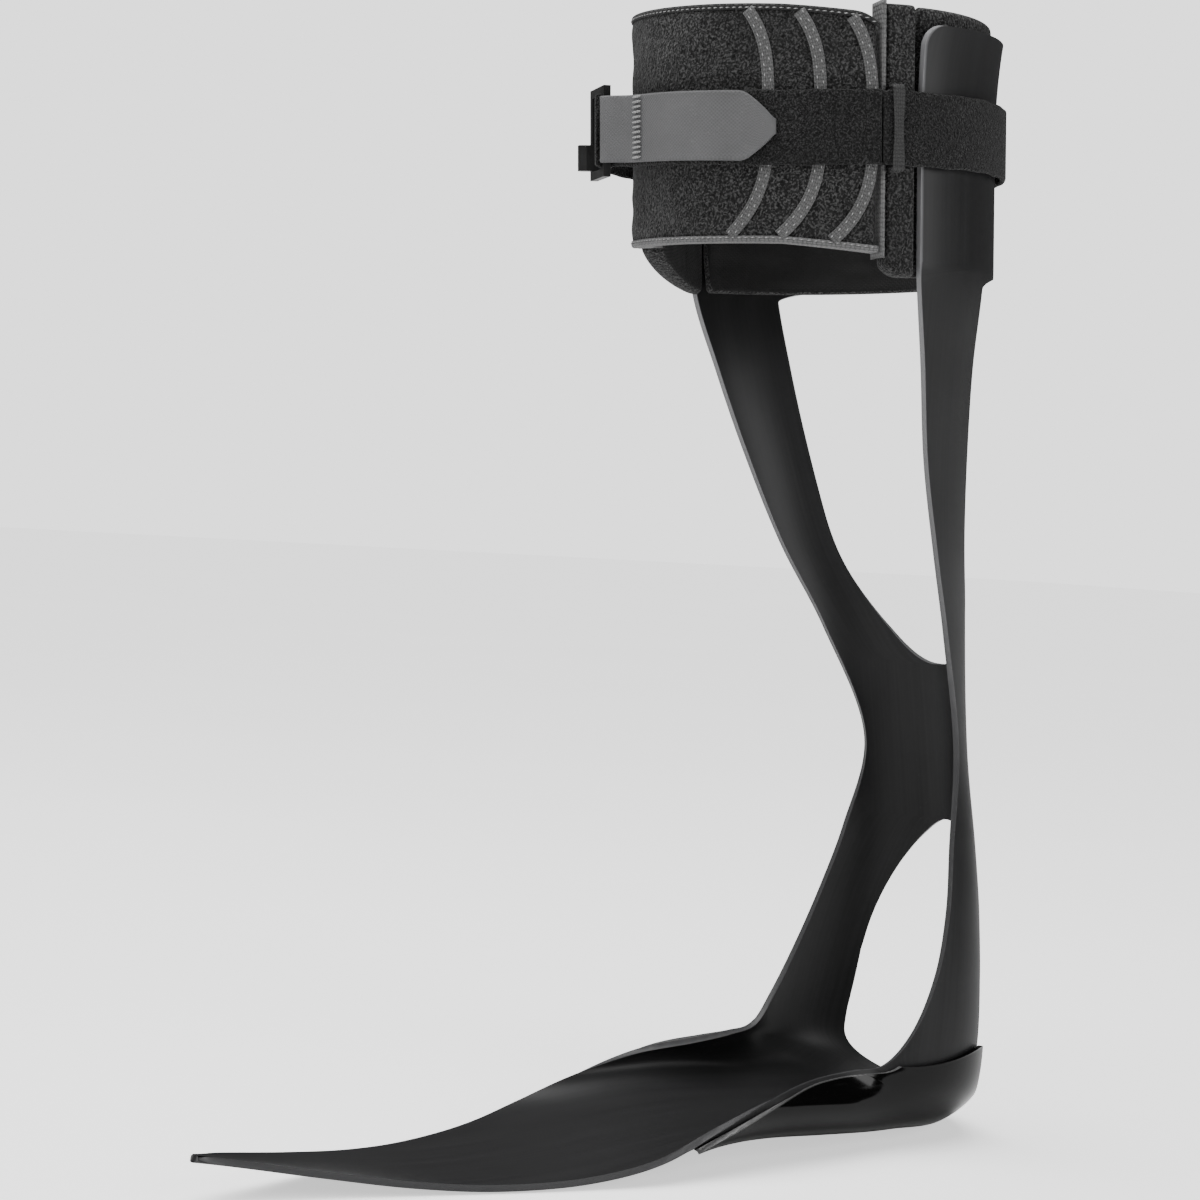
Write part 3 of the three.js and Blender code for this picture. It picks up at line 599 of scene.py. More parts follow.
def sheet_solid(name, ts, limit, place, edge_round, material):
    """A split sheet of even thickness: two halves that meet on the rear line where there is no opening.

    place(t, v, w) gives the inner (w = 0) and outer (w = 1) face, and limit(t) where its front rim lies
    in v. A bevel of edge_round rounds the rims. The attribute rim is 1 on the cut edges and 0 elsewhere.
    """
    open_half = opening_half(ts)
    s = np.concatenate([[0, 0.012], np.linspace(0.05, 0.95, SHEET_COLUMNS - 3), [0.988, 1]])
    v = open_half[:, None] + (limit(ts) - open_half)[:, None] * s[None, :]
    t = np.broadcast_to(ts[:, None], v.shape)
    halves = [(place(t, side * v, 0), place(t, side * v, 1)) for side in (1, -1)]
    n, k = v.shape
    points = np.concatenate([p.reshape(-1, 3) for pair in halves for p in pair])
    quads, row, column = grid_quads(n, k)
    size = n * k
    faces, corners = [], []
    run = lengths(np.stack([ts * 0, section(ts)[1][:, 1], section(ts)[1][:, 2]], 1))
    wide = np.linalg.norm(np.diff(halves[0][1], axis=1), axis=2)
    across = np.concatenate([np.zeros((n, 1)), np.cumsum(wide, 1)], 1) + 20 * open_half[:, None]
    for side in (0, 1):
        base = 2 * side * size
        flip = side == 1
        uv = np.stack([run[row], across[row, column] * (1 - 2 * side)], -1) * MM
        for layer in (0, 1):
            q = quads + base + layer * size
            turn = (layer == 1) ^ flip
            faces.append(q[:, ::-1] if turn else q)
            corners.append(uv[:, ::-1] if turn else uv)
        # walls: front rim, opening rim where the sheet is open, top and toe ends
        for j, want in ((k - 1, np.ones(n - 1, bool)), (0, (open_half[:-1] > 0) | (open_half[1:] > 0))):
            i = np.arange(n - 1)[want]
            a, b = base + i * k + j, base + (i + 1) * k + j
            q = np.stack([a, b, b + size, a + size], 1)
            turn = (j == 0) ^ flip
            faces.append(q[:, ::-1] if turn else q)
            rim_run = np.stack([run[i], run[i + 1], run[i + 1], run[i]], 1)
            corners.append(rim_run[..., None] * np.array([MM, 0]) + np.array([0, 0.5]))
        for i in (0, n - 1):
            j = np.arange(k - 1)
            a, b = base + i * k + j, base + i * k + j + 1
            q = np.stack([a, b, b + size, a + size], 1)
            turn = (i == 0) ^ flip
            faces.append(q if turn else q[:, ::-1])
            corners.append(np.full((k - 1, 4, 2), 0.5))
    faces, corners = np.concatenate(faces), np.concatenate(corners)
    mesh = bpy.data.meshes.new(name)
    mesh.from_pydata(points * MM, [], faces.tolist())
    mesh.uv_layers.new(name="flat").data.foreach_set("uv", corners.astype(np.float32).ravel())
    mesh.materials.append(material)
    from_edge = np.minimum(across - across[:, :1], across[:, -1:] - across)
    from_edge = np.where(s[None, :] < 0.5, np.where(open_half[:, None] > 0, from_edge, 99.0), from_edge)
    near_rim = (from_edge < 0.05).astype(np.float32)
    mesh.attributes.new("rim", "FLOAT", "POINT").data.foreach_set("value", np.tile(near_rim.ravel(), 4))
    piece = smooth_object(name, mesh)
    weld = piece.modifiers.new("weld", "WELD")
    weld.merge_threshold = 0.000004
    bevel = piece.modifiers.new("rims", "BEVEL")
    bevel.width, bevel.segments, bevel.limit_method = edge_round * MM, 3, "ANGLE"
    bevel.angle_limit = math.radians(50)
    bevel.harden_normals = False
    return piece


def carbon_shell():
    """One laminate from the cuff to the toe, with both rear openings."""
    up, heel = UPPER, HEEL
    ts = stations(0, (CUFF_ROUND, 8, "start"), (up.top, 14, None), (up.top + up.top_round, 14, "start"),
                  (up.low - up.low_round, 40, None), (up.low, 40, "end"), (heel.top, 24, None),
                  (heel.top + heel.top_round, 34, "start"), (heel.low - heel.low_round, 24, None),
                  (heel.low, 22, "end"), (SPANS, 130, None))

    def limit(t):
        return 1 - CORNER_DRAW * (1 - round_end(t, CUFF_ROUND, 2))

    def place(t, v, w):
        return shell_at(t, v, LAMINATE * (w - 0.5))

    piece = sheet_solid("shell_laminate", ts, limit, place, 0.55, CARBON)
    return finish_piece(piece, "brace", ["carbon_shell"])


def heel_cover():
    """The glossy layer under heel and arch; its rim drops across the ankle wings."""
    rounding = HEEL.low - HEEL.low_round * 0.6
    ts = stations(COVER_START, (rounding, 16, None), (HEEL.low, 22, "end"), (COVER_FRONT, 90, None))
    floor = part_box("heel_cover")[0].z / MM

    def place(t, v, w):
        half = opening_half(t)
        across = np.clip((np.abs(v) - half) / (1 - half), 0, 1)
        lean = t + COVER_WING * np.clip(1 - (t - COVER_START) / COVER_FADE, 0, 1) * across**1.4
        p = shell_at(lean, v, LAMINATE / 2 + COVER_GAP + COVER * w)
        p[..., 2] = np.maximum(p[..., 2], floor)
        return p

    piece = sheet_solid("heel_gloss_cover", ts, lambda t: np.full_like(t, 0.955), place, 0.4, RESIN)
    return finish_piece(piece, "brace", ["heel_cover"])


# ------------------------------------------------------------------ padded pieces


PRESSURE = 4.0


def fixed(value):
    return lambda x: np.full_like(x, value)


def cushion_rings(betas, r_in, r_out, low, top, faces, edge=6):
    """Closed cross-sections of a pad, one for each beta: outer face up, over the top, inner face down.

    low and top are functions of beta, r_in and r_out of the height. Corners are rounded.
    """
    s = np.linspace(0.02, 0.98, faces)
    a = np.linspace(0, math.pi, edge + 2)[1:-1]
    along_h = np.concatenate([s, 1 - 0.02 + 0.02 * np.sin(a), s[::-1], 0.02 - 0.02 * np.sin(a)])
    through = np.concatenate([np.ones(faces), 0.5 + 0.5 * np.cos(a), np.zeros(faces), 0.5 - 0.5 * np.cos(a)])
    beta = betas[:, None] + 0 * along_h[None, :]
    lo, hi = low(beta), top(beta)
    h = lo + (hi - lo) * along_h[None, :]
    r = r_in(h) + (r_out(h) - r_in(h)) * through[None, :]
    return beta, r, h, through[None, :]


def pinched(betas, r, middle, radius, length):
    """The radii r drawn in to middle so that both ends of a pad are round over the given length."""
    arc = np.radians(betas) * radius
    near = np.minimum(arc - arc.min(), arc.max() - arc)
    k = np.clip(1 - near / length, 0, 1)
    return middle + (r - middle) * np.sqrt(np.clip(1 - k**2, 0.02, 1))[:, None]


def fabric_skin(name, beta, r, h, radius, faces, side=1):
    """A pad's closed skin: loop fabric outside, knitted lining on the inner face."""
    n, columns = r.shape
    around = lengths(cuff(np.zeros(columns), r[n // 2], h[n // 2]))
    column = np.arange(columns)
    lining = (column >= faces + 3) & (column < 2 * faces + 6)
    _, _, quad_column = grid_quads(n, columns, wrap=True)
    return swept(name, cuff(side * beta, r, h), np.radians(beta[:, 0]) * radius, around, [LOOP, LINING],
                 lining[quad_column[:, 0]].astype(int))


def puff(piece, held, travel, shrink):
    """Cloth with pressure: frames 1 to 20, held where held is 1, then each move is kept under travel."""
    mesh = piece.data
    count = len(mesh.vertices)
    rest = np.empty(count * 3, np.float32)
    mesh.vertices.foreach_get("co", rest)
    rest = rest.reshape(-1, 3)
    group = piece.vertex_groups.new(name="sewn")
    for value in np.unique(np.round(held, 2)):
        members = np.nonzero(np.round(held, 2) == value)[0].tolist()
        group.add(members, float(value), "REPLACE")
    cloth = piece.modifiers.new("cloth", "CLOTH")
    settings = cloth.settings
    settings.quality, settings.mass = 6, 0.25
    settings.tension_stiffness = settings.compression_stiffness = 12
    settings.shear_stiffness, settings.bending_stiffness = 6, 0.6
    settings.use_pressure, settings.uniform_pressure_force = True, PRESSURE
    settings.shrink_min = shrink
    settings.vertex_group_mass, settings.pin_stiffness = "sewn", 1.0
    settings.effector_weights.gravity = 0
    cloth.collision_settings.use_collision = False
    cloth.collision_settings.use_self_collision = False
    scene = bpy.context.scene
    for f in range(1, 21):
        scene.frame_set(f)
    shown = piece.evaluated_get(bpy.context.evaluated_depsgraph_get())
    moved = np.empty(count * 3, np.float32)
    shown.data.vertices.foreach_get("co", moved)
    moved = moved.reshape(-1, 3)
    piece.modifiers.remove(cloth)
    scene.frame_set(1)
    step = moved - rest
    size = np.linalg.norm(step, axis=1, keepdims=True)
    step *= np.minimum(1, travel * MM / np.maximum(size, 1e-9))
    mesh.vertices.foreach_set("co", (rest + step).astype(np.float32).ravel())
    mesh.update()
    piece.vertex_groups.clear()


def stuff(piece, held, travel, shrink=-0.01):
    """Puff a pad, its two end points held as well, and lay one subdivision over it."""
    puff(piece, np.concatenate([held.ravel(), [1, 1]]), travel, shrink)
    soft = piece.modifiers.new("soft", "SUBSURF")
    soft.levels = soft.render_levels = 1


PAD_START, PAD_END, PAD_LOW, PAD_TOP, PAD_OUT = 110.6, 221.0, -27.0, 42.0, 57.2
LINER_LOW, LINER_TOP, LINER_END = -37.0, 43.0, 96.0
PAD_IN, PAD_MIDDLE, PAD_FACES = 50.5, 54.0, 30
LINER_MID_R, LINER_FACES = 51, 28
FLAP_START, FLAP_IN, FLAP_OUT, FLAP_MIDDLE, FLAP_FACES = 97.4, 48.6, 56.4, 52.5, 24
SEAMS = (143.5, 128.1, 112.7)


def pad_lift(beta):
    """The pad lies a little askew: it climbs by 0.07 mm a degree past 140 and drops by 0.1 before it."""
    return np.where(beta > 140, 0.07, 0.1) * (beta - 140)


def pad_top(beta):
    """The pad's top edge, which also drops at the near flap."""
    return PAD_TOP + pad_lift(beta) - 3 * np.clip((118 - beta) / 8, 0, 1) ** 2


def pad_low(beta):
    return PAD_LOW + pad_lift(beta) * np.where(beta > 140, 0.5, 1.0)


def seam_beta(k, along):
    """Each seam is upright behind the strap and sweeps back at both ends; along runs from -27 to 42."""
    away = np.abs(along - 8) / 34
    return SEAMS[k] + np.where(along > 8, 6.5 * away**4, 11 * away**3)


def along_pad(beta, h):
    """Height h as a place along the pad, from -27 at its lower edge to 42 at its top."""
    return PAD_LOW + (PAD_TOP - PAD_LOW) * (h - pad_low(beta)) / (pad_top(beta) - pad_low(beta))


def front_pad():
    """Face fabric, foam and lining sewn together: puffed between seams, edges and strap."""
    betas = np.linspace(PAD_START, PAD_END, 90)
    beta, r, h, through = cushion_rings(betas, fixed(PAD_IN), fixed(PAD_OUT - 0.25),
                                        lambda b: pad_low(b) + 0.5, lambda b: pad_top(b) - 0.5, PAD_FACES)
    r = pinched(betas, r, PAD_MIDDLE, PAD_OUT, 2.5)
    piece = fabric_skin("front_pad", beta, r, h, PAD_OUT, PAD_FACES)
    gap = np.min([np.abs(beta - seam_beta(k, along_pad(beta, h))) for k in range(3)], axis=0)
    outer = through > 0.9
    held = np.where(outer & (gap < 2.0), 1.0, 0.0)
    held = np.maximum(held, (h < pad_low(beta) + 3.2) | (h > pad_top(beta) - 3.2))
    held = np.maximum(held, (beta < PAD_START + 2) | (beta > PAD_END - 2))
    held = np.maximum(held, np.where(outer & (h > -7) & (h < 22), 0.9, 0.0))
    stuff(piece, held, 0.9)
    nodes = ["pad_panel_1", "pad_panel_2", "pad_panel_3", "pad_foam", "pad_lining"]
    return finish_piece(piece, "front", nodes)


def liner_out(h):
    return shell_r(h) - LAMINATE / 2 - 0.55 - 0.14 * np.maximum(0, -26 - h)


def calf_liner():
    """Backing, foam and knitted face as one cushion on its hook patches; it creases a little."""
    betas = np.linspace(-LINER_END, LINER_END, 110)
    beta, r, h, through = cushion_rings(
        betas, lambda x: liner_out(x) - 6.6, lambda x: liner_out(x) - 1.3,
        fixed(LINER_LOW + 0.4), fixed(LINER_TOP - 0.4), LINER_FACES)
    r = pinched(betas, r, liner_out(h) - 4.0, LINER_MID_R, 2.0)
    inner = through < 0.1
    swell = 0.6 + 0.4 * np.sin(np.radians(beta) * 3)
    fold = 0.5 * np.sin((h + 0.10 * beta) / 3.4) * smooth_step(-h, 8, 30) * swell
    r = r + np.where(inner, fold, 0)
    piece = fabric_skin("calf_liner", beta, r, h, LINER_MID_R, LINER_FACES)
    edge = (h < LINER_LOW + 3) | (h > LINER_TOP - 3) | (np.abs(beta) > LINER_END - 3)
    stuff(piece, np.where(~inner | edge, 1.0, 0.0), 0.8, -0.03)
    return finish_piece(piece, "brace", ["liner_backing", "liner_foam", "liner_face"])


# The liner's flaps past the struts: side, end in beta, the lower corner's rise, reach and power, columns.
Flap = namedtuple("Flap", "name side last rise reach power columns")
FLAPS = (Flap("near", 1, 109.8, 9, 8, 2, 30), Flap("far", -1, 131.0, 14, 131.0 - FLAP_START, 1.2, 60))


def flap_low(f, beta):
    """A flap's lower edge, with its round lower corner."""
    return LINER_LOW + f.rise * (1 - round_end(f.last - beta, f.reach, f.power))


def flap_pad(f):
    """The padded flap, held under the strap and along its edges."""
    betas = np.linspace(FLAP_START, f.last - 1.3, f.columns)
    beta, r, h, through = cushion_rings(betas, fixed(FLAP_IN), fixed(FLAP_OUT), lambda b: flap_low(f, b),
                                        fixed(LINER_TOP - 0.2), FLAP_FACES)
    r = pinched(betas, r, FLAP_MIDDLE, 52, 1.6)
    piece = fabric_skin(f"flap_pad_{f.name}", beta, r, h, 53, FLAP_FACES, f.side)
    held = ((h < flap_low(f, beta) + 2.5) | (h > LINER_TOP - 3) | (beta < FLAP_START + 2)
            | (beta > f.last - 4) | ((h > -8) & (h < 20) & (through > 0.5)))
    stuff(piece, held.astype(float), 0.6)
    finish_piece(piece, "brace", [f"flap_{f.name}"])


def flap_binding(f):
    """A folded tape over the flap's end, from its top edge down to its lower corner."""
    m = 60
    low = flap_low(f, np.array(f.last - 0.6))
    h = LINER_TOP + 0.2 + (low - 0.2 - LINER_TOP) * np.linspace(0, 1, m)
    profile = u_fold(8.6, 0.6, 0.6)
    beta = f.last - 0.65 + profile[None, :, 0] / FLAP_MIDDLE * 57.3 * np.ones((m, 1))
    r = FLAP_MIDDLE + 0.05 + profile[None, :, 1] * np.ones((m, 1))
    rings = cuff(f.side * beta, r, h[:, None] + 0 * profile[None, :, 0])
    _, _, leg = grid_quads(m, len(profile), wrap=True)
    outward = profile[:, 1] > 3.4
    tape = swept(f"flap_edge_{f.name}", rings, h[0] - h, lengths(profile), [DARK_EDGING, EDGING],
                 outward[leg[:, 0]].astype(int))
    finish_piece(tape, "brace", [f"flap_binding_{f.name}"])


def tape_ring(width, thick, flat=14, ends=5):
    """Closed outline of a flat strip: two straight faces and two round edges (across, out)."""
    r = thick / 2
    w = width / 2 - r
    s = np.linspace(-1, 1, flat)
    a = np.linspace(0, math.pi, ends + 2)[1:-1]
    zero = np.zeros(flat)
    return np.concatenate([
        np.c_[s * w, zero + r], np.c_[w + r * np.sin(a), r * np.cos(a)],
        np.c_[-s * w, zero - r], np.c_[-w - r * np.sin(a), -r * np.cos(a)]])


def u_fold(open_width, reach, thick, n=12):
    """Closed outline of a tape folded over an edge: a U of the given opening, reach and thickness.

    The first column runs past the edge, the second is through the pad's thickness.
    """
    half, r = open_width / 2, min(1.2, 0.8 * reach)
    a = np.linspace(0, math.pi / 2, n)
    outer = np.concatenate([
        [[-reach, half]], np.c_[(reach - r) + r * np.sin(a), half - r + r * np.cos(a)],
        np.c_[(reach - r) + r * np.cos(a), -(half - r) - r * np.sin(a)], [[-reach, -half]]])
    k = max(r - thick, 0.3)
    inner = np.concatenate([
        [[-reach, -half + thick]],
        np.c_[(reach - r) + k * np.cos(a[::-1]), -(half - r) - k * np.sin(a[::-1])],
        np.c_[(reach - r) + k * np.sin(a[::-1]), half - r + k * np.cos(a[::-1])], [[-reach, half - thick]]])
    return np.concatenate([outer, inner])


# ------------------------------------------------------------------ tapes, bindings and stitches


def stitches(name, centres, along, out, length, width, rise, material):
    """Many short stitches in one mesh: each is a capsule arched over the cloth.

    centres, along and out are (n, 3); length, width and rise are in millimetres.
    """
    ring, steps = 8, 7
    a = np.linspace(0, 2 * math.pi, ring, endpoint=False)
    s = np.linspace(-1, 1, steps)
    body = np.maximum(np.sqrt(np.clip(1 - np.abs(s) ** 2.5, 0.0, 1)), 0.12)
    x = np.broadcast_to(s[:, None] * length / 2, (steps, ring))
    y = body[:, None] * np.cos(a)[None, :] * width / 2
    z = body[:, None] * np.sin(a)[None, :] * width / 2 + rise * (1 - s[:, None] ** 2)
    cross = np.cross(out, along)
    points = (centres[:, None, None] + x[None, ..., None] * along[:, None, None]
              + y[None, ..., None] * cross[:, None, None] + z[None, ..., None] * out[:, None, None])
    quads, row, column = grid_quads(steps, ring, wrap=True)
    n, size = len(centres), steps * ring
    first = (np.arange(n) * size)[:, None]
    faces = (quads[None] + first[..., None]).reshape(-1, 4)
    uv = np.stack([s[row] * length / 2, column * width * 0.4], -1) * MM
    uv = np.broadcast_to(uv[None], (n, *uv.shape)).reshape(-1, 2)
    caps = np.concatenate([np.arange(ring)[::-1][None] + first, size - ring + np.arange(ring)[None] + first])
    p = points.reshape(-1, 3) * MM
    mesh = bpy.data.meshes.new(name)
    mesh.from_pydata(p, [], faces.tolist() + caps.tolist())
    flat = np.zeros((len(mesh.loops), 2), np.float32)
    flat[: faces.size] = uv
    mesh.uv_layers.new(name="flat").data.foreach_set("uv", flat.ravel())
    mesh.materials.append(material)
    q, middle = p[quads], p[:size].mean(0)
    if np.einsum("ij,ij->", q[:, 0] - middle, np.cross(q[:, 1] - q[:, 0], q[:, 2] - q[:, 0])) < 0:
        mesh.flip_normals()
    return smooth_object(name, mesh)


def out_at(beta):
    """Unit direction out of the cuff."""
    b = np.radians(beta)
    return np.sin(b)[..., None] * SIDE + np.cos(b)[..., None] * REAR


def round_at(beta):
    """Unit direction round the cuff, towards growing beta."""
    b = np.radians(beta)
    return np.cos(b)[..., None] * SIDE - np.sin(b)[..., None] * REAR


def read_off(at, run, values):
    """Vectors given at the lengths run, read off at the lengths at."""
    return np.stack([np.interp(at, run, values[:, c]) for c in range(3)], 1)


def seam_tapes():
    """Flat tapes sewn over the pad's seams, each with two rows of stitches."""
    for k in range(3):
        at = np.linspace(0, 1, 90)
        beta = np.clip(seam_beta(k, PAD_LOW + (PAD_TOP - PAD_LOW) * at), PAD_START + 2.0, PAD_END)
        h = pad_low(beta) + 1.9 + (pad_top(beta) - pad_low(beta) - 3.8) * at
        line = cuff(beta, PAD_OUT, h)
        run = lengths(line)
        along = unit(np.gradient(line, axis=0))
        out = out_at(beta)
        side = np.cross(out, along)
        strip = tape_ring(3.7, 0.7, 9, 4)
        centre = line + out * 0.05
        rings = centre[:, None] + side[:, None] * strip[None, :, :1] + out[:, None] * strip[None, :, 1:]
        tape = swept(f"pad_seam_{k + 1}", rings, run, lengths(strip), [TAPE])
        finish_piece(tape, "front", [f"seam_tape_{k + 1}"])
        count = int(run[-1] / 1.5)
        at = np.linspace(0.8, run[-1] - 0.8, count)
        spot, direction, normal = (read_off(at, run, values) for values in (centre, along, out))
        sides = np.cross(normal, direction)
        zig = np.where(np.arange(count) % 2 == 0, 1.0, -1.0)[:, None]
        spot = spot + sides * 0.85 * zig + normal * 0.38
        row = stitches(f"pad_seam_stitch_{k + 1}", spot, direction, normal, 1.15, 0.34, 0.08, THREAD)
        finish_piece(row, "front", None)


def pad_bindings():
    """Edge tape folded over the pad's lower and upper edge, with a row of small stitches."""
    n = 120
    betas = np.linspace(PAD_START + 0.1, PAD_END - 0.1, n)
    for name, node_name, edge, sign in (("pad_edge_low", "pad_binding_low", pad_low, -1),
                                        ("pad_edge_top", "pad_binding_top", pad_top, 1)):
        profile = u_fold(7.1, 0.95, 0.65)
        h = edge(betas)[:, None] - sign * 0.95 + sign * profile[None, :, 0]
        r = 53.85 + profile[None, :, 1] + 0 * h
        rings = cuff(betas[:, None] + 0 * h, r, h)
        tape = swept(name, rings, np.radians(betas) * PAD_OUT, lengths(profile),
                     [EDGING if sign < 0 else DARK_EDGING])
        finish_piece(tape, "front", [node_name])
        b = np.linspace(PAD_START + 2, PAD_END - 2, 52)
        spot = cuff(b, PAD_OUT + 0.25, edge(b) - sign * 1.3)
        row = stitches(f"{name}_stitch", spot, round_at(b), out_at(b), 1.4, 0.3, 0.05, THREAD)
        finish_piece(row, "front", None)


# ------------------------------------------------------------------ strap, tab, keeper, buckle
STRAP_R, STRAP_T, STRAP_LOW, STRAP_TOP = 58.8, 1.8, -5.0, 17.0
LEAVES, RUN, FOLD_R = 183.0, 25.0, 2.7
RISE, LIFT = 0.068, 4.6


def ring_at(beta, r):
    b = np.radians(beta)
    return np.stack([r * np.sin(b), r * np.cos(b)], -1)


OUT1 = ring_at(LEAVES, 1.0)
ALONG1 = np.array([OUT1[1], -OUT1[0]])
BAR = OUT1 * (STRAP_R + FOLD_R) + ALONG1 * RUN
BAR_BETA = math.degrees(math.atan2(BAR[0], BAR[1])) + 360
OUT2 = ring_at(BAR_BETA - 6, 1.0)
ALONG2 = np.array([OUT2[1], -OUT2[0]])
RING_LONG = 13.0


def strap_lift(distance):
    """The strap climbs towards the buckle: 4.6 mm there, 0.068 mm less for each mm away from it."""
    return np.maximum(LIFT - RISE * distance, 0)


def front_path():
    """Round the pad, straight to the bar and half round it: points and outward directions."""
    b = np.linspace(PAD_START + 0.2, LEAVES, 120)
    arc, arc_out = ring_at(b, STRAP_R), ring_at(b, 1.0)
    s = np.linspace(0, 1, 20)[1:, None]
    line = OUT1 * STRAP_R + ALONG1 * RUN * s
    a = np.linspace(0, math.pi, 30)[1:, None]
    turn = OUT1 * np.cos(a) - ALONG1 * np.sin(a)
    return (np.concatenate([arc, line, BAR - FOLD_R * turn]),
            np.concatenate([arc_out, np.broadcast_to(OUT1, line.shape), turn]))


def back_path():
    """From the keeper round the back and straight to the hook plate."""
    end = BAR + ALONG2 * (RING_LONG + 3.8) - OUT2 * 2.6
    leave = math.degrees(math.atan2(end[0], end[1])) + math.degrees(math.acos(STRAP_R / np.hypot(*end)))
    b = np.linspace(PAD_START - 0.4, leave, 240)
    s = np.linspace(0, 1, 16)[1:, None]
    last = ring_at(leave, STRAP_R)
    line = last + (end - last) * s
    return (np.concatenate([ring_at(b, STRAP_R), line]),
            np.concatenate([ring_at(b, 1.0), np.broadcast_to(ring_at(leave, 1.0), line.shape)]))


def carried(name, path, outward, strip, low, top, materials):
    """A flat strip's outline carried along a path in the cuff's plane, between heights low and top."""
    middle, half = (low + top) / 2, (top - low) / 2
    width = strip[:, 0].max()
    h = middle[:, None] + half[:, None] * strip[None, :, 0] / width
    xy = path[:, None] + outward[:, None] * strip[None, :, 1:]
    rings = plane(xy[..., 0], xy[..., 1], h)
    return swept(name, rings, lengths(path), lengths(strip), materials)


def straps():
    """The loop-faced strap in its two pieces, with a slightly wavy woven edge."""
    strip = tape_ring(STRAP_TOP - STRAP_LOW, STRAP_T * 0.98, 34, 6)
    for name, node_name, body, (path, out) in (("strap_long", "strap_back", "brace", back_path()),
                                               ("strap_short", "strap_front", "front", front_path())):
        s = lengths(path)
        wave = 0.12 * np.sin(s / 2.1) + 0.1 * np.sin(s / 5.3 + 1)
        lift = strap_lift(np.maximum(s[-1] - s - 8, 0))
        piece = carried(name, path, out, strip, STRAP_LOW + 0.15 + wave + lift,
                        STRAP_TOP - 0.15 + wave[::-1] + lift, [WEBBING])
        finish_piece(piece, body, [node_name])


TAB_T, TAB_LOW, TAB_TOP, TAB_TIP, TAB_BACK = 1.4, -4.0, 16.4, 140.5, 1.6


def tab_path(first, last, n):
    """The tab's line on the strap: from the fold's end down onto the strap and round to its tip."""
    high, low = STRAP_R + 2 * FOLD_R, STRAP_R + STRAP_T / 2 + 0.3 + TAB_T / 2
    straight = RUN - TAB_BACK
    whole = straight + math.radians(LEAVES - TAB_TIP) * low
    s = np.linspace(first, last, n) * whole
    r = high + (low - high) * smooth_step(s, 0, 13)
    line = OUT1 * r[:, None] + ALONG1 * (straight - s)[:, None]
    beta = LEAVES - np.degrees(np.maximum(s - straight, 0) / low)
    arc = ring_at(beta, low)
    on_line = (s < straight)[:, None]
    return np.where(on_line, line, arc), np.where(on_line, OUT1, ring_at(beta, 1.0)), s / whole


def hook_tab():
    """Grey hook tape, cut to a blunt point, with a raised welded edge."""
    path, out, s = tab_path(0, 1, 150)
    middle = (TAB_LOW + TAB_TOP) / 2 + strap_lift(lengths(path))
    half = (TAB_TOP - TAB_LOW) / 2
    width = np.where(s < 0.86, 1.0, 0.13 + 0.87 * np.clip((1 - s) / 0.14, 0, 1) ** 0.75)
    soft = np.ones(9) / 9
    width = np.convolve(np.pad(width, 4, mode="edge"), soft, mode="valid")
    strip = tape_ring(TAB_TOP - TAB_LOW, TAB_T * 0.97, 30, 6)
    edge = np.abs(strip[:, 0]) / strip[:, 0].max()
    strip[:, 1] = strip[:, 1] * (0.86 + 0.14 * smooth_step(edge, 0.86, 0.93))
    piece = carried("hook_tab_grey", path, out, strip, middle - half * width, middle + half * width, [HOOK])
    finish_piece(piece, "tab", ["hook_tab"])
    tacks = 13
    xy, normal, _ = tab_path(0.235, 0.235, 1)
    h = np.linspace(TAB_LOW + 1.1, TAB_TOP - 1.1, tacks) + strap_lift(12)
    base = plane(xy[0, 0], xy[0, 1], h)
    out3, along3 = (np.broadcast_to(d[0] * SIDE + d[1] * REAR, base.shape) for d in (normal[0], ALONG1))
    spot = base + out3 * (TAB_T / 2 + 0.32)
    row = stitches("bar_tack_stitches", spot, along3, out3, 5.0, 0.75, 0.12, THREAD)
    finish_piece(row, "tab", ["bar_tacks"])


def keeper():
    """A narrow grey loop over the strap, both feet on the near flap."""
    over, foot = STRAP_R + STRAP_T / 2 + 0.4, 57.3
    low, top, n = STRAP_LOW - 0.9, STRAP_TOP + 0.9, 12
    a = np.linspace(0, math.pi / 2, n)
    corner = 0.9
    path = np.concatenate([
        np.linspace([foot, low], [over - corner, low], 8),
        np.c_[over - corner + corner * np.sin(a), low + corner - corner * np.cos(a)],
        np.linspace([over, low + corner + 0.3], [over, top - corner - 0.3], 40),
        np.c_[over - corner + corner * np.cos(a), top - corner + corner * np.sin(a)],
        np.linspace([over - corner, top], [foot, top], 8)])
    keep = np.concatenate([[True], np.linalg.norm(np.diff(path, axis=0), axis=1) > 0.02])
    path = path[keep]
    tangent = unit(np.gradient(path, axis=0))
    normal = np.stack([tangent[:, 1], -tangent[:, 0]], 1)
    strip = tape_ring(3.8, 0.8, 12, 5)
    r = path[:, None, 0] + normal[:, None, 0] * (strip[None, :, 1] + 0.4)
    h = path[:, None, 1] + normal[:, None, 1] * (strip[None, :, 1] + 0.4)
    waist = 1 - 0.22 * np.cos(np.clip((path[:, None, 1] - 6) / 11, -1, 1) * math.pi / 2) ** 2
    beta = 105.95 + np.degrees(strip[None, :, 0] / over) * waist + 0 * r
    piece = swept("strap_loop", cuff(beta, r, h), lengths(path), lengths(strip), [KEEPER])
    finish_piece(piece, "brace", ["strap_keeper"])


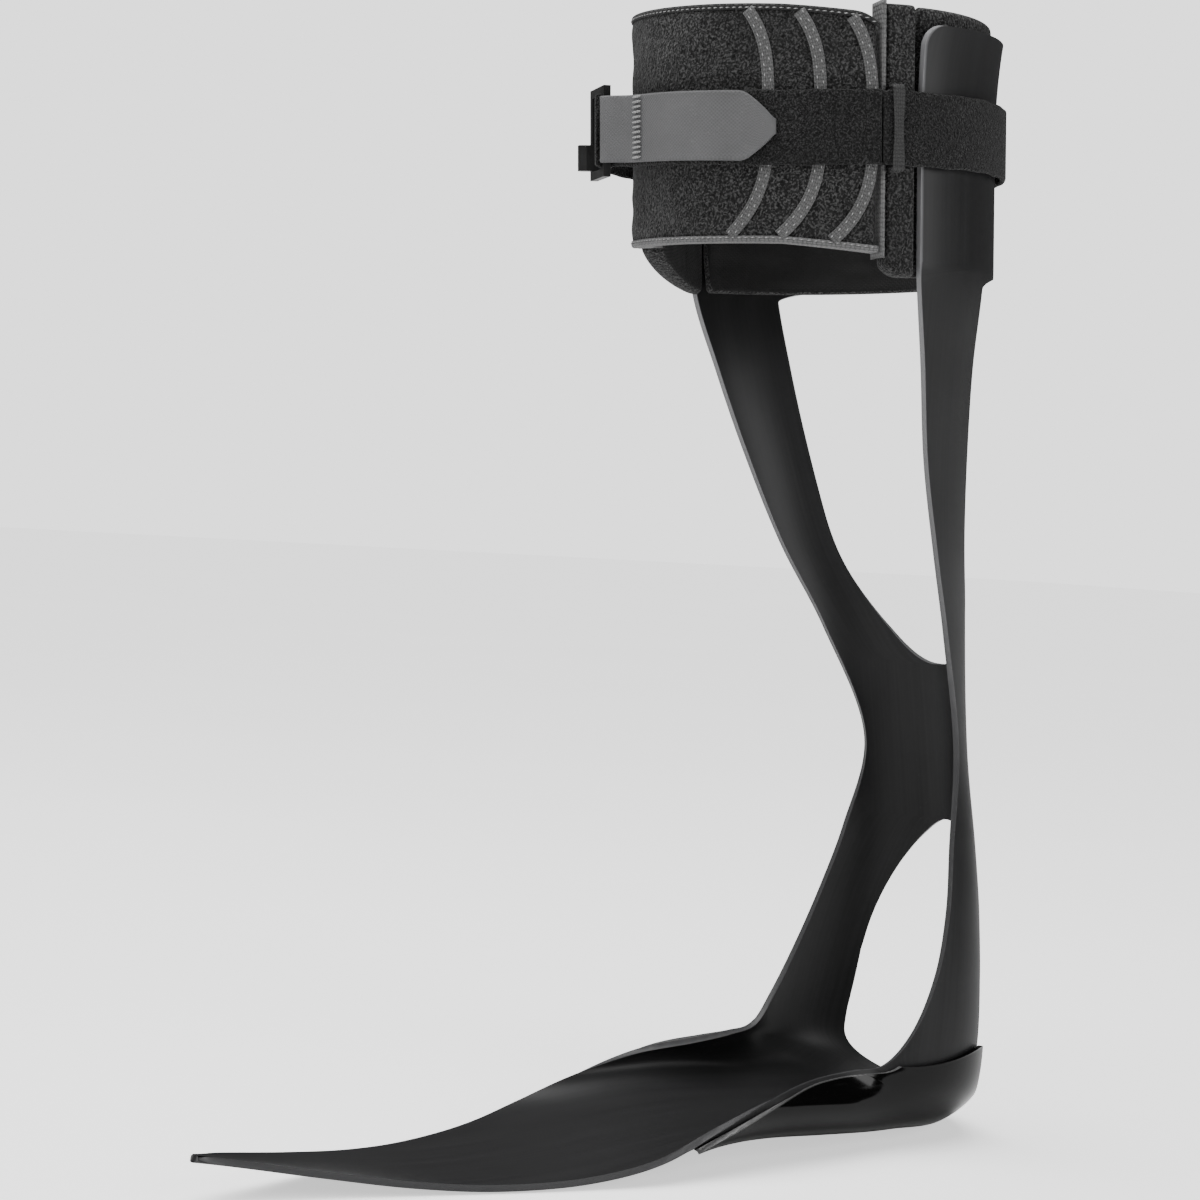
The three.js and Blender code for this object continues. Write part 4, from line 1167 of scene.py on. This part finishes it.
def hard_parts():
    """The moulded buckle keeps its CAD meshes, with softened edges; the hook patches get their tape."""
    for name, edge in (("buckle_ring", 0.35), ("hook_plate", 0.3)):
        piece = NODES[name]
        bevel = piece.modifiers.new("edges", "BEVEL")
        bevel.width, bevel.segments, bevel.limit_method = edge * MM, 3, "ANGLE"
        bevel.angle_limit = math.radians(30)
        piece.data.materials.clear()
        piece.data.materials.append(PLASTIC)
        piece.data.polygons.foreach_set("use_smooth", np.ones(len(piece.data.polygons), bool))
    for name in ("hook_patch_near", "hook_patch_far", "hook_patch_rear"):
        NODES[name].data.materials.clear()
        NODES[name].data.materials.append(HOOK)


carbon_shell()
heel_cover()
calf_liner()
for one_flap in FLAPS:
    flap_pad(one_flap)
    flap_binding(one_flap)
front_pad()
seam_tapes()
pad_bindings()
straps()
hook_tab()
keeper()
hard_parts()

# ------------------------------------------------------------------ floor and light


def pale_floor():
    """A pale floor; only what the camera sees of it is lifted towards white."""
    size, z = 14.0, CAD_BOX[0].z - 0.0002
    mesh = bpy.data.meshes.new("floor")
    corners = [(-size, -size, z), (size, -size, z), (size, size, z), (-size, size, z)]
    mesh.from_pydata(corners, [], [(0, 1, 2, 3)])
    floor = bpy.data.objects.new("floor", mesh)
    material, tree, shader, place, _ = new_material("pale_floor", Emission_Strength=1.0)
    cloud = noise(tree, place, 3.0, 2.0)
    tree.links.new(grey_ramp(tree, cloud, 0.83, 0.87), shader.inputs["Base Color"])
    tree.links.new(maths(tree, "MULTIPLY_ADD", cloud, 0.1, 0.6), shader.inputs["Roughness"])
    glow = maths(tree, "MULTIPLY", node(tree, "ShaderNodeLightPath").outputs["Is Camera Ray"], 0.9)
    tree.links.new(grey_ramp(tree, glow, 0.0, 1.0), shader.inputs["Emission Color"])
    mesh.materials.append(material)
    bpy.context.scene.collection.objects.link(floor)


def bright_world():
    """A surround that is bright behind the object and faint as a light."""
    world = bpy.data.worlds.new("studio")
    world.use_nodes = True
    tree = world.node_tree
    back = next(n for n in tree.nodes if n.type == "BACKGROUND")
    back.inputs["Color"].default_value = (1.0, 1.0, 1.0, 1.0)
    ray = node(tree, "ShaderNodeLightPath").outputs["Is Camera Ray"]
    tree.links.new(maths(tree, "MULTIPLY_ADD", ray, 1.9, 0.08), back.inputs["Strength"])
    bpy.context.scene.world = world


def lamp_object(name, kind, power):
    """A light in the scene: its object and its settings."""
    light = bpy.data.lights.new(name, kind)
    light.energy = power
    lamp = bpy.data.objects.new(name, light)
    bpy.context.scene.collection.objects.link(lamp)
    return lamp, light


def lamps():
    """Three soft boxes (place, aim, size, power) and one wide light from above."""
    boxes = [("front_box", (0.15, -1.0, 0.75), (0, -0.05, 0.2), 0.7, 5),
             ("side_box", (0.9, 0.35, 0.5), (0, 0, 0.15), 0.5, 5),
             ("top_box", (-0.2, -0.3, 1.3), (0, -0.1, 0.1), 0.9, 10)]
    for name, place, aim, size, power in boxes:
        lamp, light = lamp_object(name, "AREA", power)
        light.size, light.shape = size, "SQUARE"
        lamp.location = place
        lamp.rotation_mode = "QUATERNION"
        lamp.rotation_quaternion = (Vector(aim) - Vector(place)).to_track_quat("-Z", "Y")
    lamp, light = lamp_object("sky_light", "SUN", 3.6)
    light.angle = math.radians(70)
    lamp.rotation_euler = (math.radians(12), math.radians(-8), 0)


pale_floor()
bright_world()
lamps()
